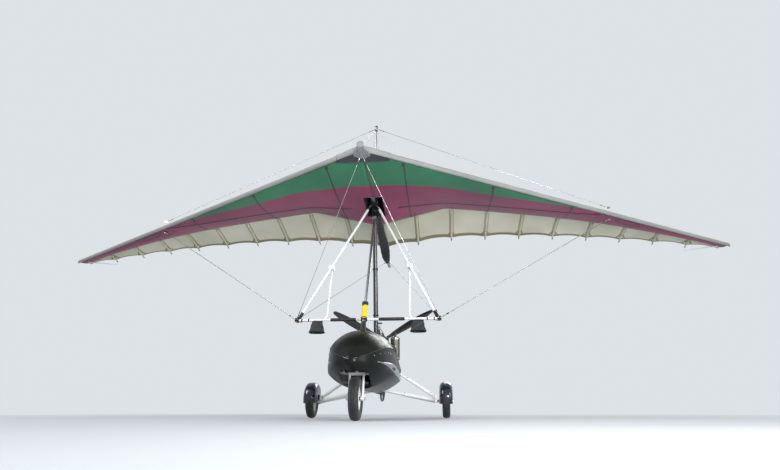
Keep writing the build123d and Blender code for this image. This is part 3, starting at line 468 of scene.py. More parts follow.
class Shape:
    """A mesh in the making, in the row frame."""

    def __init__(self) -> None:
        """Start with nothing."""
        self.bm = bmesh.new()

    def save(self, name: str, finishes: Sequence[Finish], body: str, replaces: Sequence[str] = (),
             slot: str | None = None, crease_deg: float = 35.0, thick: float = 0.0,
             offset: float = -1.0) -> Object:
        """Turn the mesh into a finished piece that rides on a body; the shape is used up.

        Args:
            name: The piece's name.
            finishes: Materials in the order of the faces' indices.
            body: The body that it rides on.
            replaces: CAD nodes that it stands for.
            slot: Not used.
            crease_deg: Edges sharper than this stay hard.
            thick: Thickness given to an open surface, or 0.
            offset: Side of the surface on which the thickness lies.

        Returns:
            The new object.
        """
        mesh = self.mesh(name)
        mesh.shade_smooth()
        mesh.set_sharp_from_angle(angle=radians(crease_deg))
        for finish in finishes:
            mesh.materials.append(finish.get())
        piece = bpy.data.objects.new(name, mesh)
        bpy.context.scene.collection.objects.link(piece)
        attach(piece, body)
        if replaces:
            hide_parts(*replaces)
        log.info("%s: %d faces on %s", name, len(mesh.polygons), body)
        if thick:
            add_modifier(piece, "SOLIDIFY", thickness=thick, offset=offset)
        return piece

    def mesh(self, name: str) -> bpy.types.Mesh:
        """Return the shape as mesh data; the shape is used up."""
        mesh = bpy.data.meshes.new(name)
        self.bm.to_mesh(mesh)
        self.bm.free()
        return mesh

    def absorb(self, part: Shape) -> None:
        """Move everything in part into this shape."""
        mesh = part.mesh("part")
        self.bm.from_mesh(mesh)
        bpy.data.meshes.remove(mesh)

    def grid(self, columns: int, rows: int, place: Place,
             index: Callable[[float, float], int] | None = None) -> None:
        """Add a grid with each of its points at place(u, v), u and v from 0 to 1.

        Args:
            columns: Cells along u.
            rows: Cells along v.
            place: The mapping.
            index: Material index of the face about (u, v).
        """
        verts = bmesh.ops.create_grid(self.bm, x_segments=columns, y_segments=rows, size=0.5)["verts"]
        if index:
            for face in {f for v in verts for f in v.link_faces}:
                middle = face.calc_center_median()
                face.material_index = index(middle.x + 0.5, middle.y + 0.5)
        for vert in verts:
            vert.co = place(vert.co.x + 0.5, vert.co.y + 0.5)

    def weld(self, gap: float) -> None:
        """Merge points that lie within a gap of each other."""
        bmesh.ops.remove_doubles(self.bm, verts=self.bm.verts, dist=gap)

    def orient(self) -> None:
        """Point every face outwards."""
        bmesh.ops.recalc_face_normals(self.bm, faces=self.bm.faces)

    def face_away(self, outward: Callable[[Vector], Vector]) -> None:
        """Turn an open surface so that its faces look along outward(point)."""
        self.orient()
        self.bm.normal_update()
        faces = self.bm.faces
        if sum(f.normal.dot(outward(f.calc_center_median())) * f.calc_area() for f in faces) < 0:
            bmesh.ops.reverse_faces(self.bm, faces=faces)

    def seal(self) -> None:
        """Merge points that coincide, fill the ends and point every face outwards."""
        self.weld(1e-5)
        self.orient()
        bmesh.ops.holes_fill(self.bm, edges=self.bm.edges)
        self.orient()

    def rod(self, a: Vector, b: Vector, r0: float, r1: float | None = None, sides: int = 20,
            index: int = 0) -> None:
        """Add a round or tapered bar from a to b."""
        made = bmesh.ops.create_cone(self.bm, cap_ends=True, segments=sides, radius1=r0,
                                     radius2=r0 if r1 is None else r1, depth=(b - a).length,
                                     matrix=basis(b - a, (a + b) / 2))
        for face in {f for v in made["verts"] for f in v.link_faces}:
            face.material_index = index

    def band(self, middle: Vector, along: Vector, half: float, radius: float, sides: int = 28,
             index: int = 1) -> None:
        """Add a collar, half to each side of its middle."""
        self.rod(middle - along * half, middle + along * half, radius, sides=sides, index=index)

    def bolts(self, places: Sequence[Sequence[float]], size: float, index: int = 0) -> None:
        """Add a bolt facing out on each side at every x, y, z, with y from the hang bolt."""
        for x, y, z in places:
            for side in (1, -1):
                self.bolt(at(side * x, y, z), vec(side, 0, 0), size, index)

    def box(self, place: Matrix, size: Sequence[float], bevel: float = 0.0, segments: int = 3,
            upright: bool = False) -> None:
        """Add a box whose edges, or only its upright ones, are rounded by bevel.

        Args:
            place: The box's frame.
            size: Its lengths along the frame's axes.
            bevel: Radius of the rounding, or 0 for none.
            segments: Facets of the rounding.
            upright: Whether only the edges along z are rounded.
        """
        made = bmesh.ops.create_cube(self.bm, size=1.0)["verts"]
        bmesh.ops.transform(self.bm, verts=made, matrix=place @ Matrix.Diagonal((*size, 1)))
        if bevel:
            own = set(made)
            edges = [e for e in self.bm.edges if e.verts[0] in own and (not upright or abs(
                (e.verts[0].co - e.verts[1].co).normalized().z) > 0.9)]
            bmesh.ops.bevel(self.bm, geom=edges, offset=bevel, affect="EDGES", segments=segments,
                            profile=0.5, material=-1)

    def lathe(self, profile: Sequence[tuple[float, float]], place: Matrix, steps: int = 48,
              index: int = 0, closed: bool = False) -> None:
        """Add a turned shape.

        Args:
            profile: Points (radius, along the axis) from one end to the other.
            place: Frame whose z axis is the axis of turning.
            steps: Facets round the axis.
            index: Material index.
            closed: Whether the profile's last point joins its first.
        """
        part = Shape()
        verts = [part.bm.verts.new((r, 0, z)) for r, z in profile]
        pairs = list(zip(verts, verts[1:])) + ([(verts[-1], verts[0])] if closed else [])
        edges = [part.bm.edges.new(pair) for pair in pairs]
        bmesh.ops.spin(part.bm, geom=verts + edges, cent=(0, 0, 0), axis=(0, 0, 1), angle=2 * pi,
                       steps=steps, use_merge=True)
        part.weld(1e-5)
        part.orient()
        bmesh.ops.transform(part.bm, matrix=place, verts=part.bm.verts)
        for face in part.bm.faces:
            face.material_index = index
        self.absorb(part)

    def bolt(self, seat: Vector, out: Vector, size: float = 0.008, index: int = 0) -> None:
        """Add a washer and hex head on a seat, facing out, for a thread of this size."""
        out = out.normalized()
        self.rod(seat, seat + out * size * 0.2, size * 1.1, index=index)
        self.rod(seat + out * size * 0.2, seat + out * size * 0.85, size * 0.88, size * 0.82, 6, index)

    def tube(self, points: Sequence[Vector], radius: float, index: int = 0, closed: bool = False,
             smooth: bool = True, sides: int = 4) -> None:
        """Add a round tube along a line through control points.

        Args:
            points: The line's control points.
            radius: The tube's radius.
            index: Material index.
            closed: Whether the line closes on itself.
            smooth: A NURBS line if true, straight runs if not.
            sides: Bevel resolution.
        """
        curve = bpy.data.curves.new("line", "CURVE")
        curve.dimensions = "3D"
        spline = curve.splines.new("NURBS" if smooth else "POLY")
        spline.points.add(len(points) - 1)
        for point, place in zip(spline.points, points):
            point.co = (*place, 1.0)
        spline.use_cyclic_u = closed
        if smooth:
            spline.order_u = 4 if len(points) > 3 else 3
            spline.use_endpoint_u = not closed
            spline.resolution_u = 6
        curve.bevel_depth, curve.bevel_resolution, curve.use_fill_caps = radius, sides, True
        holder = bpy.data.objects.new("line", curve)
        bpy.context.scene.collection.objects.link(holder)
        mesh = bpy.data.meshes.new_from_object(
            holder.evaluated_get(bpy.context.evaluated_depsgraph_get()))
        before = set(self.bm.faces)
        self.bm.from_mesh(mesh)
        for face in set(self.bm.faces) - before:
            face.material_index = index
        bpy.data.meshes.remove(mesh)
        bpy.data.objects.remove(holder)
        bpy.data.curves.remove(curve)


def cut_out(piece: Object, cutter: Shape) -> None:
    """Take the cutter's solids out of a piece and keep the result as its mesh."""
    holder = bpy.data.objects.new("cutter", cutter.mesh("cutter"))
    bpy.context.scene.collection.objects.link(holder)
    add_modifier(piece, "BOOLEAN", object=holder, operation="DIFFERENCE", solver="EXACT", use_self=True)
    bpy.context.view_layer.update()
    bake(piece)
    piece.data.set_sharp_from_angle(angle=radians(40))
    bpy.data.objects.remove(holder)


def interpolate(table: Sequence[Sequence[float]], x: float, column: int) -> float:
    """Return a column of a table at x, straight between its rows; the first column is x."""
    for a, b in zip(table, table[1:]):
        if x <= b[0]:
            break
    return a[column] + (b[column] - a[column]) * ((x - a[0]) / (b[0] - a[0]))


def smooth_interpolate(table: Sequence[Sequence[float]], x: float, column: int) -> float:
    """Return a column of a table at x on a smooth curve through its rows."""
    n = max(0, min(len(table) - 2, sum(1 for r in table[1:] if r[0] < x)))
    a, b = table[n], table[n + 1]
    before, after = table[max(n - 1, 0)], table[min(n + 2, len(table) - 1)]
    span = b[0] - a[0]
    slope_a = (b[column] - before[column]) / (b[0] - before[0]) * span
    slope_b = (after[column] - a[column]) / (after[0] - a[0]) * span
    t = (x - a[0]) / span
    return ((2 * t ** 3 - 3 * t * t + 1) * a[column] + (t ** 3 - 2 * t * t + t) * slope_a
            + (3 * t * t - 2 * t ** 3) * b[column] + (t ** 3 - t * t) * slope_b)


def smooth_step(value: float, low: float, high: float) -> float:
    """Return 0 below low, 1 above high and a smooth rise between them."""
    t = max(0.0, min(1.0, (value - low) / (high - low)))
    return t * t * (3 - 2 * t)


# Wing


@dataclass(frozen=True)
class WingPlan:
    """The wing's form in its own frame: x out, s aft along the keel from the hang point, h up."""

    half_span: float = 5.0
    tip_x: float = 4.95
    nose_s: float = -1.3
    sweep: float = radians(29.0)
    root_twist: float = radians(1.2)
    tip_twist: float = radians(12.0)
    root_r: float = 0.032
    tip_r: float = 0.024
    crest_share: float = 0.28
    camber: float = 0.085
    pitch: float = 0.495
    battens: int = 10
    trim: float = radians(9.0)
    keel_z: float = 2.6
    # Columns x, rear edge s, second surface's share of the chord
    plan: tuple = ((0.0, 1.385, 0.645), (0.9, 1.23, 0.645), (1.9, 1.29, 0.63), (2.9, 1.41, 0.585),
                   (3.6, 1.513, 0.53), (4.3, 1.625, 0.535), (5.0, 1.76, 0.85))
    # Columns x, s of the border between the green and the magenta cloth
    border: tuple = ((0.0, -0.56), (0.3, -0.545), (0.9, -0.43), (1.48, -0.19), (2.03, -0.02), (2.5, 0.15),
                     (3.05, 0.385), (5.0, 1.2))

    def joint_y(self) -> float:
        """Return y of the wing's pitch joint."""
        return next(j["pos_m"][1] for j in FRAME["joints"] if j["name"] == "hang_pitch")

    def matrix(self) -> Matrix:
        """Return the frame of the wing in the row frame."""
        return Matrix.Translation((0, self.joint_y(), self.keel_z)) @ Matrix.Rotation(-self.trim, 4, "X")

    def at(self, x: float, s: float, h: float) -> Vector:
        """Return a wing-frame point in the row frame."""
        return self.matrix() @ vec(x, s, h)

    def way(self, x: float, s: float, h: float) -> Vector:
        """Return a wing-frame direction in the row frame."""
        return self.matrix().to_3x3() @ vec(x, s, h)

    def le_s(self, x: float) -> float:
        """Return the leading edge's s at x."""
        return self.nose_s + x * math.tan(self.sweep)

    def te_s(self, x: float) -> float:
        """Return the rear edge's s at x, at a batten."""
        return interpolate(self.plan, x, 1)

    def share(self, x: float) -> float:
        """Return the second surface's share of the chord."""
        return interpolate(self.plan, x, 2)

    def chord(self, x: float) -> float:
        """Return the chord at x."""
        return self.te_s(x) - self.le_s(x)

    def le_r(self, x: float) -> float:
        """Return the radius of the leading edge at x."""
        return self.root_r + (self.tip_r - self.root_r) * x / self.half_span

    def twist(self, x: float) -> float:
        """Return the section's washout at x."""
        return self.root_twist + (self.tip_twist - self.root_twist) * x / self.half_span

    def crest(self, x: float) -> float:
        """Return the height of the top surface's crest."""
        return self.le_r(x) + self.camber * self.chord(x)

    def leave(self, x: float) -> float:
        """Return the angle at which the top surface leaves the leading edge."""
        r, top, ahead = self.le_r(x), self.crest(x), self.crest_share * self.chord(x)
        angle = 0.5
        for _ in range(6):
            angle = 2 * math.atan2(top - r * cos(angle), ahead - r + r * sin(angle))
        return angle

    def top(self, x: float, along: float) -> float:
        """Return the top surface's height above the chord line."""
        crest_at, high = self.crest_share * self.chord(x), self.crest(x)
        if along < crest_at:
            a, r = self.leave(x), self.le_r(x)
            radius = (crest_at - r + r * sin(a)) / sin(a)
        else:
            run = (1 - self.crest_share) * self.chord(x)
            radius = (run * run + high * high) / (2 * high)
        off = min(abs(along - crest_at), radius)
        return high - radius + math.sqrt(radius * radius - off * off)

    def bottom(self, x: float, along: float) -> float:
        """Return the second surface's height above the chord line."""
        r, c = self.le_r(x), self.chord(x)
        rear = self.share(x) * c
        end = self.top(x, rear) - 0.010
        middle = -r + 0.16 * (end + r)
        bend = 0.36 * c
        t = (along - r) / (rear - r)
        m = (bend - r) / (rear - r)
        curve = (middle + r - (end + r) * m) / (m * (m - 1))
        free = -r + (end + r - curve) * t + curve * t * t
        flat = -r - 0.003 - sin(self.twist(x)) * along
        return flat + (free - flat) * min(1.0, max(0.0, (x - 0.07) / 0.83))

    def section(self, side: int, x: float, along: float, up: float) -> Vector:
        """Return a point of the section at x, given along and above its twisted chord."""
        a = self.twist(x)
        s = self.le_s(x) + along * cos(a) - up * sin(a)
        return self.at(side * x, s, along * sin(a) + up * cos(a))

    def cross_tube(self, x: float) -> float:
        """Return s of the cross tube behind the cloth at x."""
        return 0.025 + 0.12 * x

    def edge(self, x: float) -> float:
        """Return how far aft the scalloped rear edge is, along the chord at x."""
        part = (x / self.pitch) % 1.0
        return self.chord(x) - 0.012 - 0.022 * 4 * part * (1 - part)

    def billow(self, x: float, along: float) -> float:
        """Return how far the cloth lifts between two battens."""
        part = (x / self.pitch) % 1.0
        rear = smooth_step(along / self.chord(x), 0.25, 1.0)
        return 0.011 * rear * 4 * part * (1 - part)


def straight(x: float, half: float, a: float, b: float) -> Callable[[float], Sequence]:
    """Return the line of a tape at x from a to b along the chord, half to each side."""
    return lambda t: ((x - half, a + (b - a) * t), (x + half, a + (b - a) * t))


@dataclass
class Sail:
    """Both surfaces of the sail with their tapes, pockets, patches and nose cover."""

    plan: WingPlan
    columns: int = 90
    nose_rows: int = 9
    top_rows: int = 36
    low_rows: int = 30
    cloth: float = 0.0008
    tape: float = 0.0007
    lift: float = 0.0022
    pocket_half: float = 0.017
    pocket_depth: float = 0.0245
    hang_slot: tuple = (0.115, -0.28, 0.22)  # half-width, front and rear s
    low_battens: tuple = (0.44, 1.48, 2.51)
    ring_centre: tuple = (3.33, 0.645)  # x and s of the port for the side wires

    def nose_point(self, side: int, x: float, turn: float, out: float = 0.0) -> Vector:
        """Return a point round the leading edge, turn 0 below and 1 where the top leaves it."""
        p = self.plan
        r = p.le_r(x)
        angle = radians(270) + (radians(90) + p.leave(x) - radians(270)) * turn
        return p.section(side, x, r + (r + out) * cos(angle), (r + out) * sin(angle))

    def top_point(self, side: int, x: float, along: float, out: float = 0.0) -> Vector:
        """Return a point on the top surface, moved out of it by out."""
        p = self.plan
        return p.section(side, x, along, p.top(x, along) + p.billow(x, along) + out)

    def low_point(self, side: int, x: float, along: float, out: float = 0.0) -> Vector:
        """Return a point on the second surface, moved down from it by out."""
        p = self.plan
        tube = abs(p.le_s(x) + along - p.cross_tube(x))
        ridge = 0.003 * math.exp(-(tube / 0.035) ** 2) * smooth_step(x, 0.3, 0.6)
        return p.section(side, x, along, p.bottom(x, along) - ridge - out)

    def set_plan_uv(self, shape: Shape) -> None:
        """Give every face its place in plan, in metres, as its UV."""
        layer = shape.bm.loops.layers.uv.new("plan")
        back = self.plan.matrix().inverted()
        for face in shape.bm.faces:
            for loop in face.loops:
                loop[layer].uv = (back @ loop.vert.co).xy

    def finish_cloth(self, name: str, shape: Shape, finishes: Sequence[Finish], thickness: float, up: bool,
                     **more: object) -> Object:
        """Save an open cloth surface that faces up or down; more is passed to Shape.save."""
        shape.face_away(lambda _: vec(0, 0, 1 if up else -1))
        self.set_plan_uv(shape)
        return shape.save(name, finishes, "wing", thick=thickness, **more)

    def upper(self, name: str, side: int) -> None:
        """Top surface from under the leading edge to the scalloped rear edge."""
        p = self.plan
        rows = self.nose_rows + self.top_rows
        split = self.nose_rows / rows

        def place(u: float, v: float) -> Vector:
            x = 0.001 + u * (p.tip_x - 0.001 + (p.half_span - p.tip_x) * (1 - v))
            if v <= split:
                return self.nose_point(side, x, v / split)
            start = p.le_r(x) * (1 - sin(p.leave(x)))
            share = ((v - split) / (1 - split)) ** 1.25
            return self.top_point(side, x, start + (p.edge(x) - start) * share)

        def index(u: float, v: float) -> int:
            if v < (self.nose_rows + 1) / rows:
                return 1
            return 2 if v > 1 - 1 / rows else 0

        shape = Shape()
        shape.grid(self.columns, rows, place, index)
        finishes = (Finish.SAIL_WHITE, Finish.SAIL_GREY, Finish.HEM_TAN)
        piece = self.finish_cloth(f"sail_top_{name}", shape, finishes, self.cloth, True,
                                  replaces=[f"sail_upper_{name}"], slot="sail_white")

    def lower(self, name: str, side: int) -> None:
        """Second surface: green ahead of the border and magenta behind it."""
        p = self.plan

        def place(u: float, v: float) -> Vector:
            x = 0.001 + u * (p.tip_x - 0.01)
            start = p.le_r(x) + 0.0015
            return self.low_point(side, x, start + (p.share(x) * p.chord(x) - start) * v)

        shape = Shape()
        shape.grid(self.columns, self.low_rows, place)
        frame = p.matrix()
        back, turn = frame.inverted(), frame.to_3x3()

        def split(x0: float, x1: float, spot: Sequence[float], normal: Sequence[float]) -> None:
            faces = [f for f in shape.bm.faces if x0 < abs((back @ f.calc_center_median()).x) < x1]
            geom = {g for f in faces for g in (f, *f.edges, *f.verts)}
            bmesh.ops.bisect_plane(shape.bm, geom=list(geom), dist=1e-6, plane_co=frame @ Vector(spot),
                                   plane_no=turn @ Vector(normal))

        width = (p.tip_x - 0.009) / self.columns
        for n in range(self.columns):
            x0, x1 = 0.001 + n * width, 0.001 + (n + 1) * width
            s0, s1 = (interpolate(p.border, x, 1) for x in (x0, x1))
            split(x0, x1, (side * x0, s0, 0), (-(s1 - s0) * side, x1 - x0, 0))
        half, s_front, s_rear = self.hang_slot
        split(-1, 0.4, (side * half, 0, 0), (1, 0, 0))
        for s in (s_front, s_rear):
            split(-1, 0.4, (0, s, 0), (0, 1, 0))
        gone = []
        for face in shape.bm.faces:
            spot = back @ face.calc_center_median()
            if abs(spot.x) < half and s_front < spot.y < s_rear:
                gone.append(face)
            face.material_index = int(spot.y > interpolate(p.border, abs(spot.x), 1))
        bmesh.ops.delete(shape.bm, geom=gone, context="FACES")
        piece = self.finish_cloth(f"sail_underside_{name}", shape, (Finish.SAIL_GREEN, Finish.SAIL_MAGENTA),
                                  self.cloth, False, replaces=[f"sail_lower_{name}"], slot="sail_magenta")

    def strip(self, shape: Shape, steps: int, point: Callable[..., Vector], side: int, lift: float,
              line: Callable[[float], Sequence]) -> None:
        """Add a tape one cell wide on a surface of the sail.

        Args:
            shape: The mesh to add to.
            steps: Cells along the tape.
            point: What gives the surface's points, top_point or low_point.
            side: 1 for the left half of the wing, -1 for the right.
            lift: How far the tape stands off the surface.
            line: Gives, at t from 0 to 1, x and the place along the chord of the tape's two edges.
        """
        def place(u: float, v: float) -> Vector:
            a, b = (point(side, *edge, lift) for edge in line(v))
            return a.lerp(b, u)

        shape.grid(1, steps, place)

    def tapes(self, name: str, side: int) -> None:
        """Dark tapes on the underside: leading-edge seam, batten tapes with end tabs, port ring."""
        p = self.plan
        shape = Shape()

        def seam(t: float) -> Sequence:
            x = 0.05 + t * (p.tip_x - 0.1)
            return (x, p.le_r(x) + 0.004), (x, p.le_r(x) + 0.013)

        self.strip(shape, 60, self.low_point, side, self.lift, seam)
        for x in self.low_battens:
            rear = p.share(x) * p.chord(x)
            for half, a, b, tab in ((0.007, 0.05, rear - 0.01, 0.0), (0.018, 0.05, 0.12, 0.001),
                                    (0.018, rear - 0.08, rear - 0.005, 0.001)):
                self.strip(shape, 24, self.low_point, side, self.lift + tab, straight(x, half, a, b))

        def ring(t: float) -> Sequence:
            turn, spots = 2 * pi * t, []
            for a, b in ((0.205, 0.036), (0.222, 0.050)):
                run, over = a * cos(turn), b * sin(turn)
                x = self.ring_centre[0] + run * cos(p.sweep) - over * sin(p.sweep)
                s = self.ring_centre[1] + run * sin(p.sweep) + over * cos(p.sweep)
                spots.append((x, s - p.le_s(x)))
            return spots

        self.strip(shape, 48, self.low_point, side, self.lift, ring)
        shape.weld(1e-5)
        piece = self.finish_cloth(f"sail_tapes_{name}", shape, (Finish.SEAM_DARK,), self.tape, False)

    def painted_shadows(self, name: str, side: int) -> None:
        """Painted shadow strips on the underside: the cross tube's shadow and the top battens' shadows ahead
        of every batten pocket.
        """
        p = self.plan
        shape = Shape()

        # Painted shadow of the cross tube inside the sail
        def tube_shadow(t: float) -> Sequence:
            x = 0.3 + 2.68 * t
            middle = p.cross_tube(x) - p.le_s(x)
            return (x, middle - 0.022), (x, middle + 0.022)

        self.strip(shape, 48, self.low_point, side, self.lift, tube_shadow)
        for n in range(1, p.battens):
            x = n * p.pitch
            rear = p.share(x) * p.chord(x) - 0.002

            # Painted shadow of a top batten, seen through the cloth ahead of its pocket
            def batten_shadow(t: float) -> Sequence:
                half, along = 0.003 + 0.007 * t, rear - 0.15 * (1 - t)
                return (x - half, along), (x + half, along)

            self.strip(shape, 8, self.low_point, side, self.lift, batten_shadow)
        piece = self.finish_cloth(f"sail_painted_shadows_{name}", shape, (Finish.SAIL_DOUBLE,), self.tape, False)

    def pockets(self, name: str, side: int) -> None:
        """Batten pockets under the rear panel, the sewn panel seams and patches at the batten ends."""
        p = self.plan
        shape = Shape()
        for n in range(1, p.battens):
            x = n * p.pitch
            start, end = (p.share(x) + 0.02) * p.chord(x), p.edge(x) - 0.002

            def place(u: float, v: float) -> Vector:
                across = (u - 0.5) * 2
                along = start + (end - start) * v
                tuck = smooth_step(v, 0.0, 0.04)
                sag = self.pocket_depth * (1 - abs(across) ** 2.2) * tuck + 0.0012
                return p.section(side, x + across * self.pocket_half, along, p.top(x, along) - sag)

            shape.grid(10, 26, place)
        piece = self.finish_cloth(f"batten_pockets_{name}", shape, (Finish.POCKET_WHITE,), self.tape, False,
                                  slot="sail_white")
        seams = Shape()
        for n in range(1, p.battens):
            for x in (n * p.pitch - 0.026, n * p.pitch + 0.026):
                line = straight(x, 0.0035, (p.share(x) + 0.01) * p.chord(x), p.edge(x) - 0.055)
                self.strip(seams, 20, self.top_point, side, -0.0018, line)
            x = n * p.pitch

            def patch(t: float) -> Sequence:
                half, ahead = 0.02 + 0.065 * t, 0.008 + 0.12 * (1 - t)
                return [(edge, p.edge(edge) - ahead) for edge in (x - half, x + half)]

            self.strip(seams, 8, self.top_point, side, -0.0024, patch)
        piece = self.finish_cloth(f"panel_seams_{name}", seams, (Finish.HEM_TAN,), 0.0005, False)

    def top_details(self, name: str, side: int) -> None:
        """Pocket tapes over every top batten."""
        p = self.plan
        shape = Shape()
        for n in range(1, p.battens):
            x = n * p.pitch
            self.strip(shape, 40, self.top_point, side, 0.0014, straight(x, 0.012, 0.06, p.edge(x) - 0.005))
        piece = self.finish_cloth(f"top_batten_tapes_{name}", shape, (Finish.POCKET_WHITE,), self.tape,
                                  True, slot="sail_white")

    def slot_painted_shade(self) -> None:
        """Black sheet on the roof and walls of the slot that the hang point needs: painted shade for the
        shaded inside of the double surface.
        """
        shape = Shape()
        half, s_front, s_rear = self.hang_slot
        for side in (1, -1):
            def spot(x: float, s: float, rise: float) -> Vector:
                along = s - self.plan.le_s(x)
                return self.low_point(side, x, along).lerp(self.top_point(side, x, along, -0.004), rise)

            corners = ((0.001, s_front), (half, s_front), (half, s_rear), (0.001, s_rear))
            shape.grid(4, 16, lambda u, v: spot(0.001 + (half - 0.001) * u, s_front + (s_rear - s_front) * v,
                                                1.0))
            for (x0, s0), (x1, s1) in zip(corners, corners[1:]):
                shape.grid(8, 4, lambda u, v: spot(x0 + (x1 - x0) * u, s0 + (s1 - s0) * u, v))
        shape.weld(0.0025)
        # Painted shade: a black sheet where one would look into the shaded inside of the double surface
        piece = self.finish_cloth("hang_slot_painted_shade", shape, (Finish.POCKET_BLACK,), self.tape, False)

    def nose_cover(self) -> None:
        """Soft grey cap over the nose, following both leading edges."""
        p = self.plan
        reach, deep, flap, out = 0.30, 0.15, 0.21, 0.006
        shape = Shape()
        for side in (1, -1):
            def place(u: float, v: float) -> Vector:
                x = 0.0005 + u * reach
                puff = out + 0.006 * sin(pi * min(1, 1.3 * u)) * sin(pi * v)
                if v < 0.2:
                    along = p.le_r(x) + flap * (1 - v / 0.2) * (1 - 0.85 * u)
                    return p.section(side, x, along, p.bottom(x, along) - puff)
                if v < 0.6:
                    return self.nose_point(side, x, (v - 0.2) / 0.4, puff)
                start = p.le_r(x) * (1 - sin(p.leave(x)))
                along = start + deep * (1 - 0.3 * u) * (v - 0.6) / 0.4
                return p.section(side, x, along, p.top(x, along) + puff)

            shape.grid(16, 30, place, lambda u, v: 1 if v < 0.27 else 0)
        shape.weld(0.0012)
        bmesh.ops.smooth_vert(shape.bm, verts=[v for v in shape.bm.verts if abs(v.co.x) < 0.05], factor=0.5,
                              use_axis_x=False, use_axis_y=True, use_axis_z=True)
        centre = p.at(0, p.nose_s + 0.12, 0)
        shape.face_away(lambda q: q - centre)
        self.set_plan_uv(shape)
        piece = shape.save("nose_cover", (Finish.SAIL_GREY, Finish.SEAM_DARK), "wing", slot="nose_grey",
                           thick=0.0015, offset=0.0)

    def build(self) -> None:
        """Make every piece of the sail."""
        for name, side in SIDES:
            self.upper(name, side)
            self.lower(name, side)
            self.tapes(name, side)
            self.painted_shadows(name, side)
            self.pockets(name, side)
            self.top_details(name, side)
        self.slot_painted_shade()
        self.nose_cover()


# Rigging, keel and control frame


